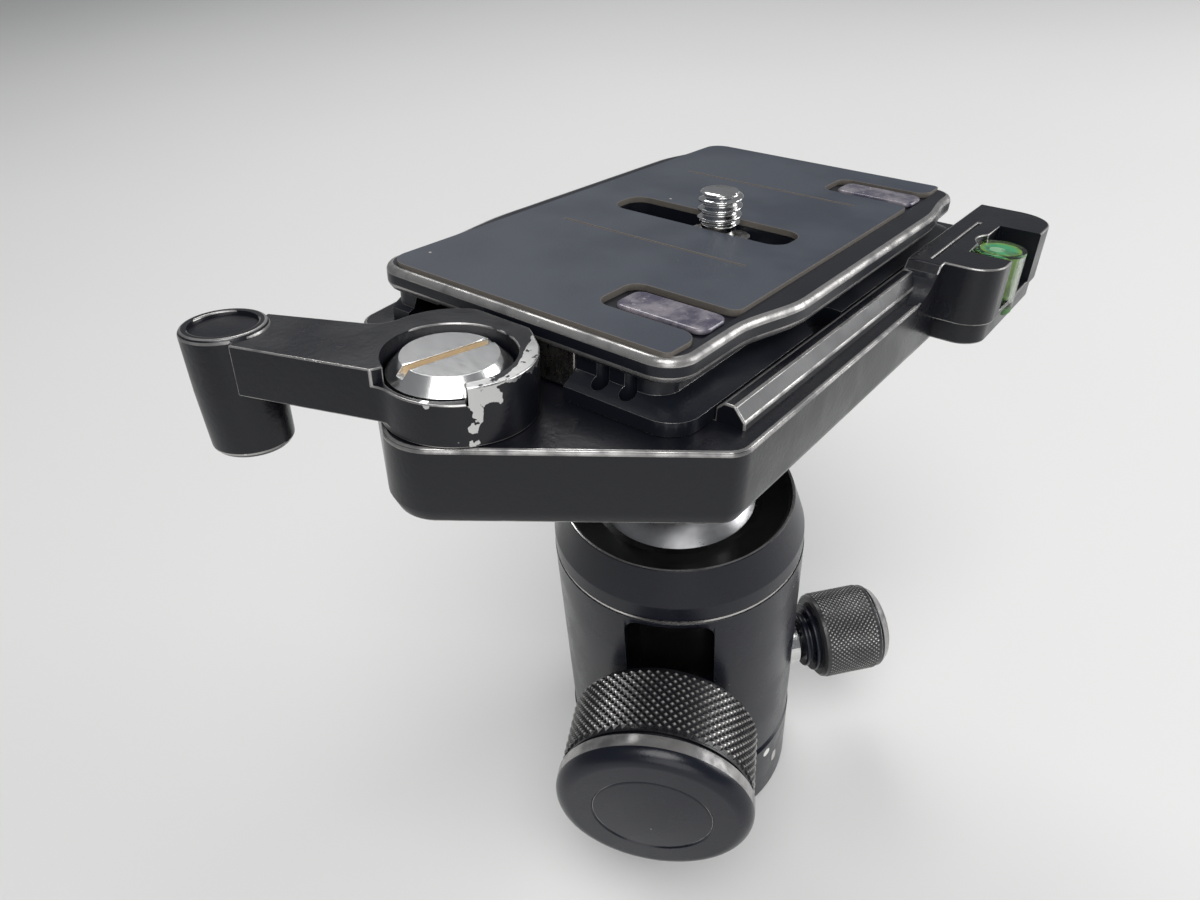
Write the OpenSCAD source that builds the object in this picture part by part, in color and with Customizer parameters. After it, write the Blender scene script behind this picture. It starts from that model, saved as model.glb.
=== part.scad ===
/* [Body] */
// Distance from the ball to the outer face of the body
body_wall = 5.5; // [5.3:0.1:6.5]
// How far the pan base stands out past the body
base_lip = 0.2; // [0:0.1:1]
// Height of the pan base
base_h = 18.4; // [17:0.2:22]
// Width of the adjusting window in the body wall
window_w = 14.8; // [8:0.2:18]
// Height of the adjusting window
window_h = 18.3; // [10:0.1:19]
// Heading of the window around the body
window_heading = -151; // [-160:1:-140]

/* [Ball] */
// Diameter of the ball
ball_d = 33; // [28:0.5:38]
// Lean of the platform in the rest pose, level end low
head_tilt = 8; // [0:0.5:18]
// Diameter of the neck between ball and platform
neck_d = 12.5; // [10:0.5:13]

/* [Knobs] */
// Diameter of the main knob grip
main_knob_d = 32.4; // [26:0.2:33]
// Height of the main knob axis above the pan base
main_knob_rise = 19; // [17.8:0.1:20]
// Heading of the main knob around the body
main_knob_heading = -153.2; // [-165:0.1:-140]
// Diameter of the pan knob grip
pan_knob_d = 17.4; // [13:0.2:17.6]
// Height of the pan knob axis above the pan base
pan_knob_rise = 6.8; // [6.6:0.1:7.2]
// Heading of the pan knob around the body
pan_knob_heading = -42; // [-55:1:-36]

/* [Platform] */
// Thickness of the platform casting
deck_t = 10.8; // [10:0.2:12]
// Height of the platform top above the top of the ball
deck_rise = 32.2; // [30:0.1:38]
// Width of the platform outside the plate's toes on the rail side
deck_right_lip = 6; // [6:0.1:7.5]
// Width of the platform outside the plate's toes on the fixed jaw side
deck_left_lip = 2; // [1.8:0.1:3]
// Offset of the plate channel along the platform from the stem
channel_x = -1.1; // [-1.5:0.1:0]
// Offset of the plate channel across the platform from the stem
channel_y = 1.4; // [0:0.1:1.5]

/* [Lever] */
// Radius of the lever hub
hub_r = 8.8; // [8.6:0.1:8.8]
// Length of the lever arm between hub and finger post
arm_l = 27; // [25:0.5:34]
// Heading of the closed lever
lever_heading = 117; // [105:1:118]

/* [Camera plate] */
// Length of the camera plate
plate_l = 82.8; // [74:0.2:92]
// Half width of the camera plate at its ends
plate_end_w = 23.2; // [22.5:0.1:24]
// Half width of the camera plate in the middle
plate_mid_w = 25.7; // [24.5:0.1:26]
// Length of the screw slot across the plate
slot_l = 28.7; // [24:0.1:29]
// Width of the screw slot
slot_w = 7; // [6.8:0.1:7.4]
// Distance of the camera screw from the slot centre
screw_y = -2.5; // [-6:0.5:6]

/* [Part] */
// Which sub-part is drawn

/* [Hidden] */
$fn = 48;
run_gap = 0.06;
slide_gap = 0.1;
ball_r = ball_d / 2;
neck_r = neck_d / 2;
shell_r = ball_r + body_wall;
base_r = shell_r + base_lip;
thread_38_r = 4.7625;
thread_14_r = 3.175;

// Heights of the body, from the pan base up
shell_bottom = base_h + 0.6;
pan_knob_z = base_h + pan_knob_rise;
main_knob_z = base_h + main_knob_rise;
spindle_top = main_knob_z - 5;
cavity_z = spindle_top - 0.1;
cup_floor = main_knob_z + 4;
ball_z = cup_floor + 3.7 + ball_r;
shell_top = ball_z + 1.4;
ring_top = shell_top + 0.6;
collar_top = ball_z + ball_r - 5.1;
dot_z = base_h - 2.7;
tick_z = base_h - 6.8;

// Radii of the body, from the ball outwards
liner_r = ball_r + 2.1;
ring_bore = ball_r + 0.8;
seat_r = ball_r + 2.8;
cavity_r = shell_r / 2 + 0.5;
spindle_r = cavity_r - 3.5;
bush_r = spindle_r;
bush_h = 11;
main_shaft_r = 3;
main_bush_r = main_shaft_r + 0.75;
pan_shaft_r = 2;

// Platform and camera plate
deck_z = ball_r + deck_rise;
plate_x = 1.7;
near_x = -plate_l / 2;
far_x = plate_l / 2;
deck_x0 = near_x + 0.2;
hub_x = deck_x0 - 8.4;
hub_y = -1.7;
pivot_x = hub_x - 0.8;
pivot_y = hub_y + 0.3;
housing_x1 = far_x + 12;
hub_z0 = 0.1;
hub_top = 7;
rim_z0 = 5;
plate_z1 = 8;
pad_z1 = 8.55;
pad_w = plate_end_w - 1.7;
toe_w = plate_end_w + 1.7;
rail_y = toe_w + slide_gap;
slot_y = -0.8;
window_x = far_x - 11.1;
screw_top = pad_z1 + 4.75;
screw_neck_r = 2.5;
vial_x = housing_x1 - 18.6;
vial_y = -rail_y - 9.9;
vial_r = 3.8;

// Placing: +X of the child runs outward along a knob axis
module main_axis() {
    translate([0, 0, main_knob_z])
        rotate([0, 0, main_knob_heading])
            children();
}

// Placing: as main_axis, from the outer face of the body
module main_face() {
    main_axis()
        translate([shell_r, 0, 0])
            children();
}

module pan_axis() {
    translate([0, 0, pan_knob_z])
        rotate([0, 0, pan_knob_heading])
            children();
}

// Placing: as pan_axis, from the outer face of the body
module pan_face() {
    pan_axis()
        translate([shell_r, 0, 0])
            children();
}

// Placing: origin at the ball centre, Z along the stem
module on_ball() {
    translate([0, 0, ball_z])
        rotate([0, head_tilt, 0])
            children();
}

// Placing: origin in the plate centre on the platform top
module on_deck() {
    on_ball()
        translate([channel_x, channel_y, deck_z])
            children();
}

// Placing: origin in the centre of the camera plate on the platform top
module on_plate() {
    on_deck()
        translate([plate_x, 0, 0])
            children();
}

// A shaft along +X from d0 to d1
module rod_x(d0, d1, r, f = 32) {
    translate([d0, 0, 0])
        rotate([0, 90, 0])
            cylinder(h = d1 - d0, r = r, $fn = f);
}

// A turned piece along +X: points are [radius, distance]
module turned_x(pts, f = 48) {
    rotate([0, 90, 0])
        rotate_extrude($fn = f)
            polygon(pts);
}

// A rectangle with rounded corners, centred
module round_rect(l, w, r) {
    square([l - 2 * r, w], center = true);
    square([l, w - 2 * r], center = true);
    for (sx = [-1, 1], sy = [-1, 1])
        translate([sx * (l / 2 - r), sy * (w / 2 - r)])
            circle(r = r, $fn = 24);
}

// A star with n shallow teeth, the stock of a knurled grip
module star(n, r, depth) {
    polygon([for (i = [0 : 2 * n - 1])
        let (a = 180 * i / n, q = i % 2 == 0 ? r : r - depth)
        [q * cos(a), q * sin(a)]]);
}

// Crossed helical grooves on a cylinder along +X
module knurl_x(d0, d1, r, n, depth, twist) {
    translate([d0, 0, 0])
        rotate([0, 90, 0])
            intersection() {
                linear_extrude(d1 - d0, twist = twist, slices = 4)
                    star(n, r, depth);
                linear_extrude(d1 - d0, twist = -twist, slices = 4)
                    star(n, r, depth);
            }
}

// A round-wire coil standing on z = 0
module coil(r, wire, pitch, turns, steps = 20) {
    sides = 8;
    count = ceil(turns * steps);
    pts = [for (i = [0 : count], j = [0 : sides - 1])
        let (a = 360 * i / steps, b = 360 * j / sides)
        [(r + wire * cos(b)) * cos(a), (r + wire * cos(b)) * sin(a),
         wire + pitch * i / steps + wire * sin(b)]];
    walls = [for (i = [0 : count - 1], j = [0 : sides - 1])
        let (k = (j + 1) % sides)
        [i * sides + j, i * sides + k, (i + 1) * sides + k, (i + 1) * sides + j]];
    cap0 = [[for (j = [0 : sides - 1]) sides - 1 - j]];
    cap1 = [[for (j = [0 : sides - 1]) count * sides + j]];
    polyhedron(pts, concat(cap0, walls, cap1), convexity = 6);
}

// ---- pan base ----
module pan_base() {
    color("#1c1d22")
    difference() {
        rotate_extrude($fn = 64)
            polygon([[bush_r, 0], [base_r - 1.2, 0], [base_r - 0.2, 1.6],
                     [base_r, 2.4], [base_r, base_h - 0.5], [base_r - 0.5, base_h],
                     [spindle_r, base_h], [spindle_r, bush_h], [bush_r, bush_h]]);
        index_pocket(-97, dot_z, 0.95);
        hull() {
            index_pocket(-89, tick_z, 0.8);
            index_pocket(-89, tick_z - 1.4, 0.8);
        }
    }
}

module index_pocket(heading, z, r) {
    translate([0, 0, z])
        rotate([0, 0, heading])
            rod_x(base_r - 0.6, base_r + 1, r, 20);
}

module tripod_bush() {
    color("#b08d4c")
    rotate_extrude($fn = 48)
        polygon([[thread_38_r, 0], [bush_r, 0], [bush_r, bush_h],
                 [thread_38_r, bush_h]]);
}

module pan_spindle() {
    color("#b9bcc0")
    difference() {
        rotate_extrude($fn = 64)
            polygon([[0, bush_h], [spindle_r, bush_h], [spindle_r, pan_knob_z - 2],
                     [spindle_r - 1.6, pan_knob_z], [spindle_r, pan_knob_z + 2],
                     [spindle_r, spindle_top], [0, spindle_top]]);
        translate([0, 0, spindle_top - 11])
            cylinder(h = 20, r = 2.5, $fn = 24);
    }
}

module retainer_washer() {
    color("#a7abb0")
    translate([0, 0, spindle_top])
        difference() {
            cylinder(h = 1.2, r = cavity_r - 0.5);
            translate([0, 0, -1])
                cylinder(h = 3, r = 2.6, $fn = 24);
            translate([0, 0, 0.5])
                cylinder(h = 2, r = 4.3, $fn = 32);
        }
}

module retainer_screw() {
    color("#8f9398")
    difference() {
        union() {
            translate([0, 0, spindle_top - 10.6])
                cylinder(h = 11.2, r = 2.5, $fn = 24);
            translate([0, 0, spindle_top + 0.5])
                cylinder(h = 0.9, r = 4.1, $fn = 32);
        }
        translate([0, 0, spindle_top + 0.2])
            cylinder(h = 3, r = 1.6, $fn = 6);
    }
}

module pan_washer() {
    color("#d8d8d2")
    translate([0, 0, base_h])
        difference() {
            cylinder(h = shell_bottom - base_h - slide_gap, r = shell_r - 1.4);
            translate([0, 0, -1])
                cylinder(h = 3, r = spindle_r + 0.1);
        }
}

module index_dot() {
    color("#f2f2ee")
    translate([0, 0, dot_z])
        rotate([0, 0, -97])
            rod_x(base_r - 0.6, base_r + 0.05, 0.95, 20);
}

module index_tick() {
    color("#c9c9c4")
    hull()
        for (z = [tick_z, tick_z - 1.4])
            translate([0, 0, z])
                rotate([0, 0, -89])
                    rod_x(base_r - 0.6, base_r + 0.05, 0.8, 20);
}

// ---- rotating body ----
module window_cut() {
    rotate([0, 0, window_heading])
        translate([liner_r - 3, 0, shell_top - 0.7 - window_h / 2])
            rotate([90, 0, 90])
                linear_extrude(10)
                    round_rect(window_w, window_h, 3);
}

module body_shell() {
    color("#1d1f26")
    difference() {
        rotate_extrude($fn = 64)
            polygon([[spindle_r + run_gap, shell_bottom], [shell_r - 0.4, shell_bottom],
                     [shell_r, shell_bottom + 0.4], [shell_r, shell_top],
                     [liner_r, shell_top], [liner_r, cup_floor], [cavity_r, cup_floor],
                     [cavity_r, cavity_z], [spindle_r + run_gap, cavity_z]]);
        window_cut();
        main_axis()
            rod_x(cavity_r - 3, shell_r + 1, main_bush_r);
        main_face()
            rod_x(-0.8, 4, 7.2);
        pan_axis()
            rod_x(spindle_r - 2, spindle_r + 6, 2.4 + run_gap, 28);
        pan_axis()
            rod_x(spindle_r + 5.2, shell_r + 1, 4);
        rotate([0, 0, pan_knob_heading])
            translate([shell_r - 0.65, -20, shell_bottom - 1])
                cube([5, 40, 60]);
    }
}

module collar_ring() {
    color("#cfd2d6")
    translate([0, 0, shell_top])
        difference() {
            cylinder(h = ring_top - shell_top, r = shell_r - 0.15, $fn = 64);
            translate([0, 0, -1])
                cylinder(h = 3, r = ring_bore);
        }
}

module collar() {
    color("#1d1f26")
    rotate_extrude($fn = 64)
        polygon([[ring_bore, ring_top], [shell_r - 0.2, ring_top],
                 [shell_r - 0.1, ring_top + 0.3], [shell_r - 0.2, ring_top + 3],
                 [shell_r - 2.2, collar_top], [seat_r, collar_top],
                 [seat_r, ring_top + 2.4], [ring_bore, ring_top + 2.4]]);
}

module seat_ring() {
    color("#0c0c0e")
    difference() {
        rotate_extrude($fn = 48)
            polygon([[seat_r - 7.3, ring_top + 2.4], [seat_r - 0.02, ring_top + 2.4],
                     [seat_r - 0.02, collar_top - 0.5], [seat_r - 0.5, collar_top - 0.7],
                     [seat_r - 4.8, collar_top - 1.6], [seat_r - 7.3, collar_top - 1.6]]);
        translate([0, 0, ball_z])
            sphere(r = ball_r + run_gap, $fn = 64);
        translate([0, 0, ring_top - 1])
            cylinder(h = 4, r = ring_bore);
    }
}

module ball_liner() {
    color("#0d0d10")
    translate([0, 0, cup_floor + 0.02])
        difference() {
            cylinder(h = shell_top - cup_floor - 0.04, r = liner_r - 0.02);
            translate([0, 0, -1])
                cylinder(h = 40, r = ball_r + 0.5);
        }
}

module cup_spring() {
    color("#c3c6ca")
    translate([0, 0, cup_floor + 0.02])
        coil(ball_r - 2.7, 0.4, 0.85, 1.3);
}

module main_knob_bush() {
    color("#a9884a")
    main_axis()
        difference() {
            union() {
                rod_x(cavity_r + 0.1, shell_r - 0.7, main_bush_r - 0.01);
                rod_x(shell_r - 0.8, shell_r + 0.3, 7.1);
            }
            rod_x(cavity_r - 1, shell_r + 2, main_shaft_r + run_gap);
        }
}

module plunger_guide() {
    color("#141416")
    difference() {
        translate([0, 0, spindle_top + 1.7])
            cylinder(h = 7.1, r = cavity_r - 0.02);
        translate([0, 0, spindle_top + 1])
            cylinder(h = 9, r = 5);
        main_axis()
            rod_x(0, cavity_r + 2.5, main_shaft_r + run_gap);
    }
}

module pan_knob_bush() {
    color("#c7cacd")
    pan_axis()
        difference() {
            union() {
                rod_x(spindle_r + 5.25, shell_r - 0.6, 3.98);
                translate([shell_r, 0, 0])
                    turned_x([[0, -0.65], [4.6, -0.65], [4.6, 2.3], [4.1, 3], [0, 3]], 32);
            }
            rod_x(spindle_r, shell_r + 4, pan_shaft_r + run_gap, 24);
        }
}

// ---- ball and cup ----
module ball_cup() {
    color("#8d9094")
    difference() {
        union() {
            rotate_extrude($fn = 48)
                polygon([[0, cup_floor + 2], [ball_r - 0.4, cup_floor + 2],
                         [ball_r - 0.4, cup_floor + 7.6], [0, cup_floor + 7.6]]);
            rotate_extrude($fn = 32)
                polygon([[0, cup_floor - 2.4], [1.2, cup_floor - 2.4],
                         [4.2, cup_floor + 0.6], [4.2, cup_floor + 2.1],
                         [0, cup_floor + 2.1]]);
        }
        translate([0, 0, ball_z])
            sphere(r = ball_r + run_gap, $fn = 64);
    }
}

module ball() {
    color("#c9ccd0")
    on_ball()
        difference() {
            sphere(r = ball_r, $fn = 64);
            translate([0, 0, ball_r - 12.5])
                cylinder(h = 20, r = neck_r + run_gap, $fn = 40);
        }
}

// ---- platform side, carried by the stem ----
module stem() {
    color("#9a9da2")
    on_ball()
        difference() {
            rotate_extrude($fn = 48)
                polygon([[0, ball_r - 12.4], [neck_r, ball_r - 12.4], [neck_r, deck_z - deck_t - 9.5],
                         [neck_r + 1.6, deck_z - deck_t - 6.5],
                         [13.6, deck_z - deck_t - 3.2], [14, deck_z - deck_t - 2.4],
                         [14, deck_z - deck_t - 0.01], [0, deck_z - deck_t - 0.01]]);
            translate([0, 0, deck_z - 28.7])
                cylinder(h = 40, r = 4, $fn = 28);
        }
}

// Outline of the platform around the plate centre, inset by e
module deck_outline(e = 0) {
    tip_r = 5.8;
    corner_r = 3.4;
    translate([hub_x - 3.8, hub_y])
        circle(r = tip_r - e, $fn = 40);
    translate([hub_x + 0.6, hub_y])
        circle(r = hub_r - e, $fn = 40);
    translate([deck_x0 + 2.7, rail_y + deck_left_lip - 5])
        circle(r = 3.85 - e, $fn = 24);
    for (x = [deck_x0 + 1.4 + corner_r, housing_x1 - 4.6])
        translate([x, corner_r - rail_y - deck_right_lip])
            circle(r = corner_r - e, $fn = 24);
    for (x = [deck_x0 + 10.2, housing_x1 - 4.6])
        translate([x, rail_y + deck_left_lip - corner_r])
            circle(r = corner_r - e, $fn = 24);
}

module deck_slab() {
    hull() {
        linear_extrude(0.2, center = true)
            deck_outline(0.25);
        translate([0, 0, -0.35])
            linear_extrude(0.2, center = true)
                deck_outline(0);
        translate([0, 0, 3.2 - deck_t])
            linear_extrude(0.2, center = true)
                deck_outline(0);
        translate([0, 0, 1.2 - deck_t])
            linear_extrude(0.2, center = true)
                deck_outline(0.9);
        translate([0, 0, 0.2 - deck_t])
            linear_extrude(0.2, center = true)
                deck_outline(2.9);
    }
}

// Plan of the level housing at the right far corner
module level_plan(e = 0) {
    x0 = housing_x1 - 33.2 + e;
    x1 = housing_x1 - e;
    y0 = -rail_y - 13.5 + e;
    near_r = 4.6 - e;
    far_r = 6 - e;
    inner_y = -rail_y - 0.9;
    translate([x0, y0 + near_r])
        square([x1 - far_r - x0, inner_y - y0 - near_r]);
    translate([x0, y0 + far_r])
        square([x1 - x0, inner_y - y0 - far_r]);
    translate([x0 + near_r, y0])
        square([x1 - far_r - x0 - near_r, inner_y - y0]);
    translate([x0 + near_r, y0 + near_r])
        circle(r = near_r, $fn = 32);
    intersection() {
        translate([x1 - far_r, y0 + far_r])
            circle(r = far_r, $fn = 40);
        translate([x1 - far_r, y0])
            square([far_r, far_r]);
    }
}

module platform() {
    color("#1b1c22")
    on_deck()
        difference() {
            union() {
                translate([0, 0, -0.1])
                    deck_slab();
                // right rail with a sloping back
                translate([deck_x0 + 7, -rail_y, -0.2])
                    rotate([90, 0, 90])
                        linear_extrude(housing_x1 - deck_x0 - 38.6)
                            polygon([[0, 0], [0, 1.8], [-0.9, 2.7], [-2.3, 2.7],
                                     [-3.7, 1.1], [-3.8, 0]]);
                // raised end block running into the rail
                translate([housing_x1 - 41.9, -rail_y - 0.9, 0])
                    rotate([90, 0, 0])
                        linear_extrude(5.1)
                            polygon(concat([[0, -0.5]],
                                [for (a = [0 : 8 : 56])
                                    [8.5 * sin(a), 8.5 - 8.5 * cos(a)]],
                                [[7.5, 4], [37.3, 4], [37.3, -0.5]]));
                translate([0, 0, -8])
                    linear_extrude(3.2)
                        level_plan(0.5);
                translate([0, 0, -4.8])
                    linear_extrude(8.8)
                        level_plan();
                // fixed jaw on the left, lipped over the plate toe
                translate([deck_x0 + 10.2, rail_y, -0.2])
                    rotate([90, 0, 90])
                        linear_extrude(housing_x1 - deck_x0 - 14.6)
                            polygon([[0, 0], [0, 2.3], [-2.4, 3.3], [-2.4, 4.2],
                                     [1, 4.2], [1.7, 3.4], [1.7, 0]]);
            }
            translate([housing_x1 - 26.1, -rail_y - 20, -4])
                cube([15.8, 12.9, 12]);
            translate([vial_x, vial_y, -6.5])
                cylinder(h = 20, r = vial_r + 0.02, $fn = 40);
            translate([housing_x1 - 32.6, -rail_y - 4.3, 3.6])
                cube([21.8, 0.5, 2]);
            translate([-channel_x, -channel_y, -5])
                cylinder(h = 10, r = 7, $fn = 36);
            translate([-channel_x, -channel_y, -20])
                cylinder(h = 30, r = 4, $fn = 28);
            translate([pivot_x, pivot_y, -8])
                cylinder(h = 20, r = 4, $fn = 28);
            // cross groove that guides the locking jaw
            translate([hub_x + 13.6, -10, -2.2])
                cube([4, 18, 6]);
        }
}

module platform_screw() {
    color("#8f9398")
    on_deck()
        translate([-channel_x, -channel_y, 0])
            difference() {
                union() {
                    translate([0, 0, -5])
                        cylinder(h = 4, r = 6.5, $fn = 36);
                    translate([0, 0, -28])
                        cylinder(h = 24, r = 3.98, $fn = 28);
                }
                translate([0, 0, -3.6])
                    cylinder(h = 4, r = 3.4, $fn = 6);
            }
}

module lever_screw() {
    color("#d7d9dc")
    on_deck()
        translate([pivot_x, pivot_y, 0])
            difference() {
                union() {
                    translate([0, 0, -7.9])
                        cylinder(h = 11.4, r = 4, $fn = 28);
                    rotate_extrude($fn = 56)
                        polygon([[0, 3.4], [6.95, 3.4], [6.95, 5.1], [5.35, 6.8], [0, 6.8]]);
                }
                rotate([0, 0, -12])
                    translate([-8, -0.6, 5.9])
                        cube([16, 1.2, 2]);
            }
}

module lever_washer() {
    color("#b5986a")
    on_deck()
        translate([pivot_x, pivot_y, 3.05])
            difference() {
                cylinder(h = 0.33, r = 6.6, $fn = 36);
                translate([0, 0, -1])
                    cylinder(h = 3, r = 4.15, $fn = 28);
            }
}

module level_seat() {
    color("#2f5a1e")
    on_deck()
        translate([vial_x, vial_y, -6.5])
            cylinder(h = 1, r = vial_r, $fn = 40);
}

module level_vial() {
    color("#9fd66a")
    on_deck()
        translate([vial_x, vial_y, -5.5])
            difference() {
                cylinder(h = 8.6, r = vial_r, $fn = 40);
                translate([0, 0, 0.6])
                    cylinder(h = 7.4, r = vial_r - 0.7, $fn = 40);
            }
}

module level_fluid() {
    color("#5fd38a")
    on_deck()
        translate([vial_x, vial_y, -4.9])
            difference() {
                cylinder(h = 7.4, r = vial_r - 0.7, $fn = 40);
                translate([-0.5, 0.4, 6.95])
                    cylinder(h = 2, r = 1.2, $fn = 24);
            }
}

module level_bubble() {
    color("#eaf7df")
    on_deck()
        translate([vial_x - 0.5, vial_y + 0.4, 2.05])
            cylinder(h = 0.45, r = 1.2, $fn = 24);
}

// ---- lock lever and jaw ----
module hub_plan() {
    intersection() {
        hull()
            for (d = [[0, 0], [1.5, 2]])
                translate(d)
                    circle(r = hub_r, $fn = 64);
        translate([-20, -20])
            square([20 + deck_x0 + 0.9 - hub_x, 40]);
    }
}

// The hub and the tapered arm as one outline, with a fillet behind
module lever_plan() {
    offset(r = -4, $fn = 40)
        offset(delta = 4) {
            hub_plan();
            rotate([0, 0, lever_heading])
                polygon([[0, 6.6], [5, 6.6], [12.4, 5.7], [arm_l - 3, 4.3],
                         [arm_l - 3, -4.4], [12.2, -4.4], [0, -4.4]]);
        }
}

// Finger post, its foot leaning towards the hub
module lever_post() {
    rotate([0, 0, lever_heading])
        translate([arm_l - 0.4, -0.15, 0])
            rotate([0, 3, 0])
                scale([1, 0.92, 1])
                    rotate_extrude($fn = 40)
                        polygon([[0, -7.8], [4.3, -7.8], [4.8, -7.2], [5.05, 0], [5.05, 6.9],
                                 [4.7, 7.35], [3.9, 7.35], [3.8, 6.85], [0, 6.85]]);
}

// The screw's seat sits off the hub's centre, so the rim is thin in front
// and cut down there
module lock_lever() {
    color("#1a1b21")
    on_deck()
        difference() {
            translate([hub_x, hub_y, 0]) {
                translate([0, 0, hub_z0])
                    linear_extrude(hub_top - hub_z0)
                        hub_plan();
                translate([0, 0, 0.9])
                    linear_extrude(hub_top - 0.9)
                        lever_plan();
                lever_post();
            }
            translate([pivot_x, pivot_y, 0]) {
                translate([0, 0, 3])
                    cylinder(h = 10, r = 7.35, $fn = 56);
                translate([0, 0, -1])
                    cylinder(h = 10, r = 4 + run_gap, $fn = 28);
                translate([0, 0, 5.15])
                    linear_extrude(5)
                        polygon([[0, 0], for (a = [158, 197, 236]) [14 * cos(a), 14 * sin(a)]]);
            }
        }
}

module locking_jaw() {
    color("#c3bfb4")
    on_deck() {
        difference() {
            translate([hub_x + 10.5, -9.3, 0.3])
                cube([9, 11.3, 5.7]);
            translate([hub_x + 8.6, -20, 3.2])
                rotate([0, -24, 0])
                    translate([-3, 0, 0])
                        cube([3, 60, 9]);
        }
        translate([hub_x + 13.7, -9.3, -2.1])
            cube([3.8, 11.3, 2.6]);
    }
}

// ---- camera plate ----
function ease(t) = t * t * (3 - 2 * t);

// Half width of the rim at x: end_w near, mid_w in the middle, far_w at the far end
function rim_w(x, mid_w, far_w) =
    let (full = x < 0 ? far_x - 25.2 : far_x - 16.2,
         narrow = x < 0 ? far_x - 12.2 : far_x - 5.2,
         end_w = x < 0 ? plate_end_w : far_w,
         t = max(0, min(1, (narrow - abs(x)) / (narrow - full))))
    end_w + (mid_w - end_w) * ease(t);

// One edge of the rim from the near end to the far end, on the right
function rim_side(e, mid_w, far_w) =
    let (r = 4, hx = far_x, n_w = plate_end_w)
    concat(
        [for (a = [180 : 15 : 255])
            [-hx + r + (r - e) * cos(a), -n_w + r + (r - e) * sin(a)]],
        [for (d = [12.2, 15.2, 18.2, 22.2, 25.2]) [d - hx, -rim_w(d - hx, mid_w, far_w) + e]],
        [for (d = [16.2, 13.2, 10.2, 7.2, 5.2]) [hx - d, -rim_w(hx - d, mid_w, far_w) + e]],
        [for (a = [285 : 15 : 360])
            [hx - r + (r - e) * cos(a), -far_w + r + (r - e) * sin(a)]]);

// The right edge swells more than the left one
module rim_outline(e = 0) {
    right = rim_side(e, plate_mid_w, plate_end_w + 1.2);
    left = rim_side(e, plate_mid_w - 1.2, plate_end_w - 0.3);
    n = len(left);
    polygon(concat(right, [for (i = [1 : n]) [left[n - i][0], -left[n - i][1]]]));
}

module slot_cut() {
    translate([0, slot_y, rim_z0 - 2])
        linear_extrude(12)
            round_rect(slot_w, slot_l, 2.6);
}

module camera_plate() {
    body_w = toe_w - 3.6;
    color("#1e2027")
    on_plate()
        difference() {
            union() {
                translate([0, 0, rim_z0])
                    linear_extrude(0.5)
                        rim_outline(0.4);
                translate([0, 0, rim_z0 + 0.4])
                    linear_extrude(plate_z1 - rim_z0 - 1)
                        rim_outline();
                translate([0, 0, plate_z1 - 0.65])
                    linear_extrude(0.65)
                        rim_outline(0.45);
                translate([0, 0, 0.1])
                    linear_extrude(1.7)
                        round_rect(plate_l + 3, 2 * toe_w, 4);
                hull() {
                    translate([0, 0, 1.7])
                        linear_extrude(0.1)
                            round_rect(plate_l + 3, 2 * toe_w, 4);
                    translate([0, 0, 3])
                        linear_extrude(0.1)
                            round_rect(plate_l - 1.6, 2 * body_w, 3);
                }
                translate([0, 0, 3])
                    linear_extrude(2.1)
                        round_rect(plate_l - 1.6, 2 * body_w, 3);
            }
            slot_cut();
            // channel for jaw and hub between the near walls
            translate([near_x - 19, 0, 0])
                rotate([90, 0, 90])
                    linear_extrude(plate_l + 38)
                        polygon([[-9.4, -1], [17.6, -1], [17.6, 1.8], [16.2, 5], [-9.4, 5]]);
            translate([near_x + 13.2, -17.6, -1])
                cube([plate_l - 20.4, 35.2, 6]);
            translate([near_x - 19, -9.4, rim_z0 - 0.5])
                cube([29.2, 21.4, 2.1]);
            // the left toe ends flush with the rim
            translate([near_x, 0, -1])
                linear_extrude(4)
                    polygon([[-4, 12], [0, 12], [0, 20.2], [3, 21.6], [9.5, 26], [-4, 26]]);
            for (s = [-1, 1])
                translate([-7.5, s * (toe_w + 1.7), -1])
                    cylinder(h = 6, r = 4.6, $fn = 32);
            for (y = [-13.2, -17])
                translate([near_x + 0.3, y, -1])
                    cylinder(h = 5.9, r = 1, $fn = 16);
            translate([0, 0, plate_z1 - 0.35])
                linear_extrude(1)
                    round_rect(plate_l - 1.8, 2 * pad_w + 0.1, 3);
        }
}

module pad_window(side) {
    translate([side * window_x, -pad_w - 2.5, 0])
        square([8, 30], center = true);
    for (s = [-1, 1])
        translate([side * window_x + s * 2.2, -9])
            circle(r = 2, $fn = 20);
    translate([side * window_x, -8])
        square([4.4, 2], center = true);
}

module plate_pad() {
    color("#3a4454")
    on_plate()
        difference() {
            translate([0, 0, plate_z1 - 0.34])
                linear_extrude(pad_z1 - plate_z1 + 0.34)
                    difference() {
                        round_rect(plate_l - 1.9, 2 * pad_w, 3);
                        pad_window(-1);
                        pad_window(1);
                    }
            for (x = [-12.9, 20.8])
                translate([x - 0.25, -14.8, pad_z1 - 0.2])
                    cube([0.5, 29.6, 1]);
            slot_cut();
        }
}

module grip_insert(side) {
    on_plate()
        translate([side * (window_x + 0.2), -15, plate_z1 - 0.34])
            linear_extrude(0.8)
                round_rect(5.5, 12.6, 1.6);
}

module grip_insert_near() {
    color("#8a86a6")
    grip_insert(-1);
}

module grip_insert_far() {
    color("#8a86a6")
    grip_insert(1);
}

module screw_carriage() {
    color("#8f9398")
    on_plate()
        translate([0, slot_y + screw_y, 0])
            difference() {
                union() {
                    translate([-6, -5.5, 4.1])
                        cube([12, 11, 0.8]);
                    translate([0, 0, 4.8])
                        linear_extrude(2.2)
                            round_rect(slot_w - 2 * slide_gap, 9, 2.6);
                }
                cylinder(h = 10, r = screw_neck_r + run_gap, $fn = 28);
            }
}

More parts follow.
